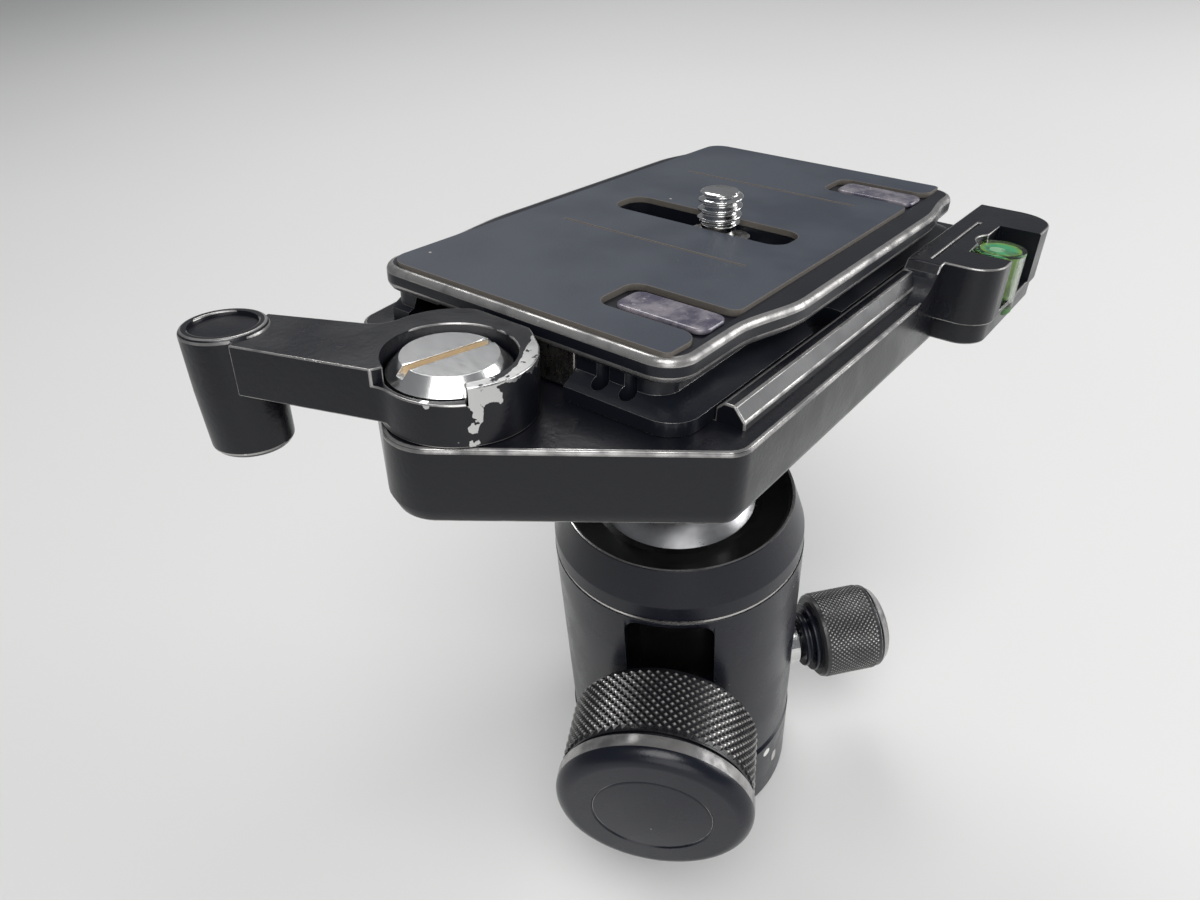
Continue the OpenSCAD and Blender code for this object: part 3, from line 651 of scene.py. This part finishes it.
# %% Material: bare metals
def bare_metal(name, colour, roughness, stretch, depth, stain=0.85):
    material, tree, shader, where = new_material(name)
    scratches = noise(tree, stretched(tree, where, stretch), 1.0, 3.0, 0.65)
    clouds = noise(tree, where, 190.0, 3.0)
    tint = mix(tree, ramp(tree, clouds, 0.35, 0.7), colour, shaded(colour, stain))
    gloss = plus(tree, ramp(tree, scratches, 0.3, 0.7, roughness - 0.04, roughness + 0.06),
                 ramp(tree, clouds, 0.4, 0.7, 0.0, 0.05))
    feed(tree, shader, Base_Color=tint, Metallic=1.0, Roughness=gloss,
         Normal=bump(tree, scratches, depth, 0.00003))
    return material


satin_ball = bare_metal("satin ball", rgb(0.42, 0.42, 0.43), 0.30, (900.0, 900.0, 2600.0), 0.25)
turned_steel = bare_metal("turned steel", rgb(0.56, 0.56, 0.55), 0.28, (1200.0, 1200.0, 4000.0),
                          0.3)
bright_plate = bare_metal("bright plate", rgb(0.78, 0.78, 0.77), 0.10, (1400.0, 1400.0, 1400.0),
                          0.08, stain=0.93)
worn_nickel = bare_metal("worn nickel", rgb(0.78, 0.75, 0.69), 0.24, (500.0, 1600.0, 900.0),
                         0.22, stain=0.8)
turned_brass = bare_metal("turned brass", rgb(0.62, 0.46, 0.22), 0.28, (1000.0, 1000.0, 3200.0),
                          0.25)
bare_edge = bare_metal("bare edge", rgb(0.66, 0.64, 0.62), 0.24, (900.0, 900.0, 4200.0),
                       0.2, stain=0.8)

# %% [markdown]
# The lever's screw is bright and smooth, but dirt and old grease have dyed
# the bottom of its slot tan. The slot is found by its height in the screw's
# own frame, below the face and inside the chamfer.

# %% Material: screw face
def screw_face_finish():
    material, tree, shader, where = new_material("screw face")
    local = in_frame(tree, where, PIVOT)
    height = add(tree, "ShaderNodeSeparateXYZ", {0: local}).outputs["Z"]
    below_face = ramp(tree, height, 0.00655, 0.0067, 1.0, 0.0)
    inside_chamfer = ramp(tree, from_axis(tree, local), 0.0052, 0.0054, 1.0, 0.0)
    slot = times(tree, below_face, inside_chamfer)
    fine = noise(tree, stretched(tree, where, (2600.0, 700.0, 900.0)), 1.0, 3.0)
    grime = noise(tree, where, 1500.0, 3.0)
    dirt = mix(tree, grime, rgb(0.50, 0.37, 0.22), rgb(0.78, 0.66, 0.47))
    feed(tree, shader, Base_Color=mix(tree, slot, rgb(0.88, 0.88, 0.87), dirt),
         Metallic=minus(tree, 1.0, times(tree, slot, 0.6)),
         Roughness=plus(tree, ramp(tree, fine, 0.3, 0.7, 0.20, 0.23), slot, 0.2),
         Normal=bump(tree, fine, 0.06, 0.00002))
    return material


screw_face = screw_face_finish()

# %% [markdown]
# The pad is a thin sheet of slate-coloured rubber. Close up it has the fine
# stipple of its mould, slightly shiny in places where cameras have pressed
# on it, with dust caught in the stipple. Its cut edge is coloured a lighter
# brown.

# %% Material: pad rubber
def pad_rubber_finish():
    material, tree, shader, where = new_material("pad rubber")
    stipple = noise(tree, where, 2900.0, 3.0, 0.6)
    pressed = noise(tree, where, 75.0, 3.0)
    grit = grouped(tree, dust, {"Vector": where, "Spacing": 240.0}).outputs[0]
    slate = ramp(tree, pressed, 0.35, 0.65)
    colour = mix(tree, slate, rgb(0.028, 0.034, 0.048), rgb(0.040, 0.047, 0.062))
    # The marked cut walls and edge are coloured a lighter brown.
    colour = mix(tree, times(tree, edge_mark(tree), 0.9), colour, rgb(0.115, 0.100, 0.085))
    colour = mix(tree, grit, colour, rgb(0.40, 0.39, 0.36))
    feed(tree, shader, Base_Color=colour, Roughness=ramp(tree, pressed, 0.3, 0.7, 0.50, 0.60),
         Normal=bump(tree, stipple, 0.45, 0.00006), Specular_IOR_Level=0.42)
    return material


pad_rubber = pad_rubber_finish()

# %% [markdown]
# The two grips in the plate are clear violet gel. Light gets a little way
# in and comes back mottled, so the colour is a slow noise between smoke and
# violet with pale flecks, under a smooth skin.

# %% Material: violet gel
def violet_gel_finish():
    material, tree, shader, where = new_material("violet gel")
    swirl = noise(tree, where, 330.0, 4.0, 0.6)
    fleck = noise(tree, where, 1300.0, 3.0, 0.6)
    smoke = ramp(tree, swirl, 0.36, 0.66)
    colour = mix(tree, smoke, rgb(0.055, 0.049, 0.080), rgb(0.205, 0.185, 0.21))
    colour = mix(tree, ramp(tree, fleck, 0.62, 0.80), colour, rgb(0.42, 0.38, 0.40))
    feed(tree, shader, Base_Color=colour, Roughness=ramp(tree, fleck, 0.3, 0.7, 0.16, 0.30),
         Normal=bump(tree, swirl, 0.5, 0.0003), Coat_Weight=0.5, Coat_Roughness=0.12)
    return material


violet_gel = violet_gel_finish()

# %% [markdown]
# The level is a round vial: a green well with a paler, yellowish ring of
# light in the fluid, a bubble on top, and a clear lid over it all. The lid
# is glass in the shader's own sense, so it bends light and stays clear.

# %% Material: level and marks
def plain_finish(name, colour, roughness, shade=0.9):
    material, tree, shader, where = new_material(name)
    cloud = noise(tree, where, 900.0, 2.0)
    tint = mix(tree, ramp(tree, cloud, 0.35, 0.65), colour, shaded(colour, shade))
    gloss = ramp(tree, cloud, 0.3, 0.7, roughness, roughness + 0.08)
    feed(tree, shader, Base_Color=tint, Roughness=gloss, Normal=bump(tree, cloud, 0.1, 0.00003))
    return material


def clear_finish(name, colour, roughness=0.02):
    material, tree, shader, where = new_material(name)
    smear = ramp(tree, noise(tree, where, 500.0, 2.0), 0.4, 0.8, roughness, roughness + 0.05)
    feed(tree, shader, Base_Color=colour, Roughness=smear, Transmission_Weight=1.0, IOR=1.45)
    return material


def green_fluid_finish():
    material, tree, shader, where = new_material("green fluid")
    out = from_axis(tree, in_frame(tree, where, VIAL))
    ring = ramp(tree, out, 0.0020, 0.0030)
    rim = ramp(tree, out, 0.0030, 0.0034)
    colour = mix(tree, ring, rgb(0.10, 0.62, 0.30), rgb(0.34, 0.62, 0.08))
    colour = mix(tree, rim, colour, rgb(0.035, 0.12, 0.02))
    gloss = ramp(tree, noise(tree, where, 400.0), 0.3, 0.7, 0.08, 0.14)
    feed(tree, shader, Base_Color=colour, Roughness=gloss, Coat_Weight=0.6)
    return material


white_paint = plain_finish("white paint", rgb(0.80, 0.80, 0.78), 0.35)
pale_paint = plain_finish("pale paint", rgb(0.46, 0.45, 0.43), 0.4)
washer_white = plain_finish("thrust washer", rgb(0.55, 0.55, 0.52), 0.45)
seat_green = plain_finish("vial seat green", rgb(0.03, 0.12, 0.015), 0.35)
clear_lid = clear_finish("clear vial", rgb(0.93, 0.98, 0.90))
bubble_air = plain_finish("bubble", rgb(0.55, 0.90, 0.62), 0.06, shade=0.95)
green_fluid = green_fluid_finish()
print("materials:", len(bpy.data.materials))

# %% [markdown]
# Most inner pieces keep their measured shape and only get a finish. One
# table says which, so that nothing is left plain when the head is opened
# or tilted. The pieces that are made anew below are in it too, so each
# measured piece has its finish whatever stands for it.

# %% Finishes for the measured pieces
FINISHES = {
    black_anodised: ["pan_base", "body_shell", "collar", "camera_plate", "main_knob_cap",
                     "pan_knob_cap", "pan_knob_collar"],
    black_casting: ["platform", "lock_lever"],
    black_plastic: ["seat_ring", "ball_liner", "plunger_guide"],
    knurl_black: ["main_knob_grip", "pan_knob_grip"],
    satin_ball: ["ball", "stem"],
    turned_steel: ["pan_spindle", "retainer_washer", "retainer_screw", "cup_spring", "ball_cup",
                   "platform_screw", "main_knob_shaft", "lock_plunger", "pan_knob_shaft",
                   "screw_carriage"],
    turned_brass: ["tripod_bush", "main_knob_bush", "lever_washer", "pan_brake_shoe"],
    bright_plate: ["pan_knob_bush", "camera_screw", "lever_screw"],
    bare_edge: ["collar_ring"],
    worn_nickel: ["locking_jaw"],
    pad_rubber: ["plate_pad"],
    violet_gel: ["grip_insert_near", "grip_insert_far"],
    washer_white: ["pan_washer"],
    white_paint: ["index_dot"],
    pale_paint: ["index_tick"],
    seat_green: ["level_seat"],
    clear_lid: ["level_vial"],
    green_fluid: ["level_fluid"],
    bubble_air: ["level_bubble"],
}
for material, nodes in FINISHES.items():
    for node in nodes:
        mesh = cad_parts[node].data
        mesh.materials.clear()
        mesh.materials.append(material)
print("finished", sum(len(n) for n in FINISHES.values()), "measured pieces")

# %% [markdown]
# The platform is one aluminium casting: a slab with a rail, a fixed jaw and
# a box for the level. Its measured shape is right, but a casting has no
# knife edges, and it is the rounded edge that catches the light. So a
# welded copy of it gets its edges rounded, and takes the measured piece's
# place.

# %% Platform casting
platform = copy_of("platform", "platform_casting", weld=0.05)
round_edges(platform, 0.24, outer_only=True)
finish_piece(platform, "head", "black_casting", black_casting, "platform")

# %% [markdown]
# The lever is cast in one with its hub and finger post. It is rounded the
# same way, a little less, so that the crisp rim round the hub's bore stays.
# Its shortest edges are welded first, because they would spoil the rounding.

# %% Lock lever
lever = copy_of("lock_lever", "lever_casting", weld=0.12)
round_edges(lever, 0.17, outer_only=True)
finish_piece(lever, "lever", "black_casting", black_casting, "lock_lever")

# %% [markdown]
# The sliding jaw is a small nickel-plated block with one slanted face. Its
# corners are only broken, as a file would do it.

# %% Sliding jaw
jaw = copy_of("locking_jaw", "sliding_jaw")
round_edges(jaw, 0.25, outer_only=True)
finish_piece(jaw, "jaw", "nickel", worn_nickel, "locking_jaw")

# %% [markdown]
# Body, collar and base are turned and then anodised. The window was milled
# through the wall afterwards, and its edge was left just soft to the touch.
# The collar is a cone, drawn anew so that its edges are finely round, and
# its narrow top ring is marked, so that the coat gives it the pale edge
# colour: partly rubbed paint and partly a painted highlight.

# %% Turned body
TUBES = [("body_shell", "body_tube", "housing", 0.22), ("pan_base", "base_disc", "base", 0.2)]
for node, name, body, width in TUBES:
    piece = copy_of(node, name)
    round_edges(piece, width, segments=2)
    finish_piece(piece, body, "black_anodised", black_anodised, node)

COLLAR = [(17.3, 63.6), (21.8, 63.6), (21.9, 63.9), (21.8, 66.6), (19.8, 73.0), (19.3, 73.0),
          (19.3, 66.0), (17.3, 66.0), (17.3, 63.6)]
collar = turned("collar_cone", COLLAR, steps=128, round_by=0.14)
round_edges(collar, 0.05, sharper=50, segments=1)
# Marks the top ring for the pale edge colour, a painted highlight partly for rubbed paint.
mark_faces(collar, lambda normal, centre: normal.z > 0.9 and centre.z > 72.8)
finish_piece(collar, "housing", "black_anodised", black_anodised, "collar")

# %% [markdown]
# The camera plate's rim narrows towards both ends, in a gentle S that keeps
# a hand off the jaws. Only the rim is drawn anew, with round edges all the
# way along. Its toes and channel underneath come from the measured piece,
# cut off just inside the rim.

# %% Camera plate
PLATE_L, NEAR_W, CORNER_R = 82.8, 23.2, 4
NEAR_BEND, FAR_BEND = (-29.2, -16.2), (25.2, 36.2)
RIM_FOOT, RECESS_FLOOR, RIM_TOP = 5.0, 7.65, 8.0
SLOT = [(x, y - 0.8) for x, y in rounded_box(7.0, 28.7, 2.6)]


def s_curve(bend, w0, w1, count=8):
    """Points that ease from width w0 to width w1 over a bend from one x to another."""
    x0, x1 = bend
    steps = [i / count for i in range(count + 1)]
    return [(x0 + (x1 - x0) * t, w0 + (w1 - w0) * t * t * (3 - 2 * t)) for t in steps]


def rim_side(mid_w, far_w):
    """One long side of the rim, from its near corner to its far one."""
    end = PLATE_L / 2 - CORNER_R
    eased = s_curve(NEAR_BEND, NEAR_W, mid_w) + s_curve(FAR_BEND, mid_w, far_w)
    side = arc(-end, CORNER_R - NEAR_W, CORNER_R, 180, 268) + [(x, -w) for x, w in eased]
    return side + arc(end, CORNER_R - far_w, CORNER_R, 276, 360)


rim_outline = rim_side(25.7, 24.4) + [(x, -y) for x, y in reversed(rim_side(24.5, 22.9))]
rim = milled("plate_rim", rim_outline, RIM_FOOT, RIM_TOP)
round_edges(rim, 0.9, sharper=60, segments=5)
cut(rim, milled("recess", rounded_box(81.0, 43.1, 3), RECESS_FLOOR, RIM_TOP + 1))
cut(rim, milled("slot", SLOT, RIM_FOOT - 2, RIM_TOP + 1))

toes = copy_of("camera_plate", "plate_toes")
settle(toes, PLATE.inverted())
edit(toes)
bpy.ops.mesh.bisect(plane_co=(0, 0, (RIM_FOOT + 0.25) * MM), plane_no=(0, 0, 1), clear_outer=True,
                    use_fill=True)
leave()
round_edges(toes, 0.22, segments=2)

join(rim, toes)
smooth_below(rim, 40)
settle(rim, PLATE)
finish_piece(rim, "plate", "black_anodised", plate_black, "camera_plate")

# %% [markdown]
# The pad is cut from sheet, so it is one outline with two open notches for
# the gel grips, a slot for the screw and two fine scored lines. Its edge is
# soft rubber and gets a small round. All its cut walls are marked, and the
# finish colours them a lighter brown.

# %% Rubber pad
PAD_FOOT, PAD_TOP = 7.66, 8.55
PAD_END, PAD_SIDE = 40.45, 21.5
NOTCH_X, NOTCH_HALF, NOTCH_DEEP = 30.3, 4, -7
LINES_X, LINE_FLOOR = (-12.9, 20.8), 8.38


def notch(x):
    """A notch's outline from left to right. Its mouth is rounder towards the pad's end."""
    left, right = (2.4, 1.6) if x < 0 else (1.6, 2.4)
    r = 2
    inside, floor = NOTCH_HALF - r, NOTCH_DEEP - r
    return (arc(x - NOTCH_HALF - left, left - PAD_SIDE, left, -90, 0)
            + arc(x - inside, floor, r, 180, 90) + arc(x + inside, floor, r, 90, 0)
            + arc(x + NOTCH_HALF + right, right - PAD_SIDE, right, 180, 270))


tight, wide = 1.0, 3
pad_outline = notch(-NOTCH_X) + notch(NOTCH_X)
pad_outline += arc(PAD_END - tight, tight - PAD_SIDE, tight, -60, 0)
pad_outline += arc(PAD_END - wide, PAD_SIDE - wide, wide, 0, 90)
pad_outline += arc(wide - PAD_END, PAD_SIDE - wide, wide, 90, 180)
pad_outline += arc(tight - PAD_END, tight - PAD_SIDE, tight, 180, 240)
pad = milled("pad_sheet", pad_outline, PAD_FOOT, PAD_TOP)
cut(pad, milled("slot", SLOT, PAD_FOOT - 1, PAD_TOP + 1))
for middle in LINES_X:
    line = [(middle + x, y) for x, y in rounded_box(0.5, 29.6, 0.2, 3)]
    cut(pad, milled("line", line, LINE_FLOOR, PAD_TOP + 1))
round_edges(pad, 0.14, sharper=50, segments=2)
mark_faces(pad, lambda normal, centre: abs(normal.z) < 0.5)
settle(pad, PLATE)
finish_piece(pad, "plate", "pad_rubber", pad_rubber, "plate_pad")

# %% [markdown]
# Each gel grip is a moulded tablet that stands a hair below the pad. It is
# a rounded block whose edges are bevelled wide, so it looks poured.

# %% Gel grips
GEL_X, GEL_Y, GEL_TOP = 30.5, -15, 8.46

for x, end in ((-GEL_X, "near"), (GEL_X, "far")):
    tablet = milled("gel_" + end, rounded_box(5.5, 12.6, 1.5), PAD_FOOT, GEL_TOP)
    round_edges(tablet, 0.36, sharper=60, segments=4)
    settle(tablet, PLATE @ place(x, GEL_Y))
    finish_piece(tablet, "plate", "insert_plastic", violet_gel, "grip_insert_" + end)

# %% [markdown]
# The camera screw's thread is a 1/4 inch one with twenty turns to the inch.
# A helix is easy to state: at each height, the groove's angle is a fixed
# part of a turn further on. So the blank is turned with fine rings first,
# and then each of its points is moved to the thread's radius there. The
# thread runs in at its foot and out at the tip.

# %% Camera screw
PITCH_MM, CREST, ROOT = 25.4 / 20, 3.175, 2.48
NECK_R, BLANK_R = 2.5, 2.9
HEAD_TOP, THREAD_FOOT, SCREW_TOP = 4.02, 8.4, 13.3

stack = [(BLANK_R, THREAD_FOOT + 0.055 * i) for i in range(87)]
blank = [(0, HEAD_TOP), (NECK_R, HEAD_TOP), (NECK_R, THREAD_FOOT - 0.1)] + stack
screw = turned("camera_screw_thread", blank + [(2.4, SCREW_TOP), (0, SCREW_TOP)], steps=72)
for v in screw.data.vertices:
    x, y, z = v.co / MM
    r = math.hypot(x, y)
    if r > BLANK_R - 0.05 and THREAD_FOOT - 0.05 < z < SCREW_TOP - 0.05:
        t = (z / PITCH_MM - math.atan2(y, x) / math.tau) % 1.0
        groove = min(1.0, max(0.0, 1.45 * (1 - abs(2 * t - 1)) - 0.25))
        runs_in = NECK_R + max(0, z - THREAD_FOOT - 0.1) * 1.4
        runs_out = CREST - max(0, z - SCREW_TOP + 0.6) * 0.9
        new = min(CREST - (CREST - ROOT) * groove, runs_in, runs_out)
        v.co.x, v.co.y = x * new / r * MM, y * new / r * MM

HEAD = [(0, 1.6), (6.9, 1.6), (7.3, 2.0), (7.3, HEAD_TOP), (0, HEAD_TOP)]
head = turned("head", HEAD, round_by=0.12)
cut(head, milled("coin slot", rounded_box(20, 1.4, 0.2, 1), 1.0, 2.5))
join(screw, head)
smooth_below(screw, 45)
settle(screw, SCREW)
finish_piece(screw, "camera_screw", "bright_steel", bright_plate, "camera_screw")

# %% [markdown]
# The lever's screw is turned from bright steel: a wide chamfer, a flat face
# with fine lines, and a coin slot across it. The slot is a cut, and the tan
# grime in it comes from the finish above.

# %% Lever screw
SCREW_PROFILE = [(0, 3.4), (6.95, 3.4), (6.95, 5.1), (5.35, 6.8), (0, 6.8)]
SLOT_TURN = math.radians(-12)

lever_screw = turned("lever_screw_head", SCREW_PROFILE)
slot_tool = milled("slot", rounded_box(16, 1.2, 0.1, 1), 5.9, 8.0)
settle(slot_tool, Matrix.Rotation(SLOT_TURN, 4, "Z"))
cut(lever_screw, slot_tool)
round_edges(lever_screw, 0.09, segments=2)
join(lever_screw, turned("shank", [(0, -7.9), (4, -7.9), (4, 3.4), (0, 3.4)], steps=48))
settle(lever_screw, PIVOT)
finish_piece(lever_screw, "head", "bright_steel", screw_face, "lever_screw")

# %% [markdown]
# A diamond knurl is pressed in by two wheels that cut crossed grooves. On a
# grid of rings and ribs it is a checkerboard: every second point stays up
# as a diamond's tip, the others go down as its corners. Splitting each
# square along its shorter diagonal then gives clean four-sided pyramids. The
# tips carry the full edge mark, and the plain ends a weak one.

# %% Helper: diamond knurl
PLAIN_MARK = 0.25


def knurled(name, r, z0, z1, across, along, depth, before, after):
    """A turned grip. Its knurl has along rows, each of 2 * across points."""
    rows = [(r, z0 + (z1 - z0) * i / along) for i in range(along + 1)]
    piece = turned(name, before + rows + after, steps=2 * across)
    tips = []
    for v in piece.data.vertices:
        x, y, z = v.co / MM
        out = math.hypot(x, y)
        if abs(out - r) > 0.002 or not z0 - 0.01 < z < z1 + 0.01:
            tips.append(PLAIN_MARK)
            continue
        column = round(math.atan2(y, x) / math.pi * across)
        row = round((z - z0) / (z1 - z0) * along)
        tip = (column + row) % 2 == 0 and 0 < row < along
        low = r - (0.0 if tip else depth)
        v.co.x, v.co.y = x * low / out * MM, y * low / out * MM
        tips.append(1.0 if tip else 0.0)
    edit(piece)
    bpy.ops.mesh.quads_convert_to_tris(quad_method="SHORTEST_DIAGONAL", ngon_method="BEAUTY")
    leave()
    piece.data.attributes.new("edge", "FLOAT", "POINT").data.foreach_set("value", tips)
    smooth_below(piece, 24)
    return piece


# %% [markdown]
# The main knob is a knurled drum with a smooth cap. A thin black groove
# parts the two. The cap's shoulder is a quarter of an ellipse, its side is
# marked so that the coat paints a pale highlight on it, a painted reflection
# of the light above, and its face has a shallow ring turned into it.

# %% Main knob
GROOVE_R = 15.3
BEFORE = [(0, 0.6), (15.1, 0.6), (15.5, 0.9)]
AFTER = [(15.8, 12.9), (15.75, 13.15), (GROOVE_R, 13.2), (GROOVE_R, 13.9), (0, 13.9)]
grip = knurled("main_grip", 16.2, 1.3, 12.7, across=66, along=16, depth=0.55,
               before=BEFORE, after=AFTER)
settle(grip, MAIN_KNOB)
finish_piece(grip, "main_knob", "knurl_black", knurl_black, "main_knob_grip")

CAP = [(0, 13.9), (16.15, 13.9), (16.4, 14.2)]
for t in range(0, 91, 9):
    CAP.append((13.8 + 2.6 * math.cos(math.radians(t)), 15.8 + 2.7 * math.sin(math.radians(t))))
CAP += [(10.1, 18.5), (9.8, 18.2), (9.5, 18.45), (0, 18.5)]
cap = turned("main_cap", CAP, steps=128)
round_edges(cap, 0.05, sharper=60, segments=1)
# Marks the cap's side for a painted highlight.
mark_faces(cap, lambda normal, centre: abs(normal.z) < 0.2 and centre.z > 14.3, 0.85)
settle(cap, MAIN_KNOB)
finish_piece(cap, "main_knob", "black_anodised", black_anodised, "main_knob_cap")

# %% [markdown]
# The pan knob is the small one. From the body outwards it is a bright
# flanged bush, a black collar with two rings, a finely knurled barrel and
# a bevelled end whose bevel is marked for a painted highlight.

# %% Pan knob
BUSH = [(0, -3.0), (3.98, -3.0), (3.98, -0.65), (4.6, -0.65), (4.6, 2.3), (4.1, 3.0), (2.06, 3.0)]
bush = turned("pan_bush", BUSH, steps=64, round_by=0.15)
settle(bush, PAN_KNOB)
finish_piece(bush, "housing", "bright_steel", bright_plate, "pan_knob_bush")

RINGS = [(0, 3.3), (5.4, 3.3), (5.7, 3.5), (5.7, 4.1), (5.0, 4.3), (5.0, 4.8),
         (6.7, 4.9), (6.9, 5.1), (6.9, 5.6), (6.4, 5.7), (6.4, 6.2), (0, 6.2)]
rings = turned("pan_rings", RINGS, steps=80, round_by=0.08)
round_edges(rings, 0.04, sharper=40, segments=1)
settle(rings, PAN_KNOB)
finish_piece(rings, "pan_knob", "black_anodised", black_anodised, "pan_knob_collar")

BEFORE = [(0, 6.2), (7.9, 6.2), (8.4, 6.6)]
AFTER = [(8.45, 17.9), (8.4, 18.0), (0, 18.0)]
barrel = knurled("pan_grip", 8.7, 7.0, 17.6, across=56, along=22, depth=0.22,
                 before=BEFORE, after=AFTER)
settle(barrel, PAN_KNOB)
finish_piece(barrel, "pan_knob", "knurl_black", knurl_fine, "pan_knob_grip")

END = [(0, 18.0), (8.5, 18.0), (8.4, 18.5), (7.3, 19.9), (6.5, 20.4), (0, 20.4)]
end = turned("pan_end", END, steps=80, round_by=0.14)
round_edges(end, 0.05, sharper=30, segments=1)
# Marks the bevel for a painted highlight.
mark_faces(end, lambda normal, centre: abs(normal.z) < 0.8 and centre.z > 18.6, 0.8)
settle(end, PAN_KNOB)
finish_piece(end, "pan_knob", "black_anodised", black_anodised, "pan_knob_cap")

# %% [markdown]
# The stage is a pale floor under an even pale sky. Black paint shows only
# what it reflects, so the brightest lamp stands behind the head, where each
# rounded top edge mirrors it as one thin line. A wide one overhead, like a
# white ceiling, draws the broad bands on rounded shoulders. Two low ones,
# behind the camera and on the right, show in the slanted sides.

# %% Floor
def floor_finish():
    material, tree, shader, where = new_material("pale floor")
    cloud = noise(tree, where, 3.0, 2.0)
    grey = mix(tree, cloud, rgb(0.66, 0.66, 0.65), rgb(0.70, 0.70, 0.69))
    feed(tree, shader, Base_Color=grey, Roughness=ramp(tree, cloud, 0.3, 0.7, 0.75, 0.85))
    return material


bpy.ops.object.select_all(action="DESELECT")
bpy.ops.mesh.primitive_plane_add(size=8, location=(0, 0, 0))
floor = bpy.context.object
floor.name = "floor"
floor.data.materials.append(floor_finish())

# %% [markdown]
# A lamp is a disc that looks at the middle of the head. Its size in metres
# sets how wide its reflection is, and its power in watts how bright.

# %% Lamps and sky
LAMPS_AIM = Vector((0, 0, 0.08))


def lamp(name, place_at, size, watts):
    bpy.ops.object.select_all(action="DESELECT")
    bpy.ops.object.light_add(type="AREA", location=place_at)
    light = bpy.context.object
    light.name = name
    light.data.shape, light.data.size, light.data.energy = "DISK", size, watts
    aim = LAMPS_AIM - Vector(place_at)
    light.rotation_euler = aim.to_track_quat("-Z", "Y").to_euler()


lamp("key lamp", (0.40, 0.45, 0.78), size=0.50, watts=3.2)
lamp("right lamp", (0.72, -0.62, 0.38), size=0.70, watts=5.5)
lamp("low lamp", (-0.75, -0.62, 0.42), size=0.76, watts=2.6)
lamp("ceiling lamp", (-0.34, -0.28, 0.95), size=0.70, watts=6.5)

world = bpy.data.worlds.new("studio")
bpy.context.scene.world = world
world.use_nodes = True
sky = world.node_tree.nodes["Background"]
sky.inputs["Color"].default_value = rgb(0.86, 0.88, 0.92)
sky.inputs["Strength"].default_value = 0.22
bpy.context.scene.view_settings.view_transform = "Standard"
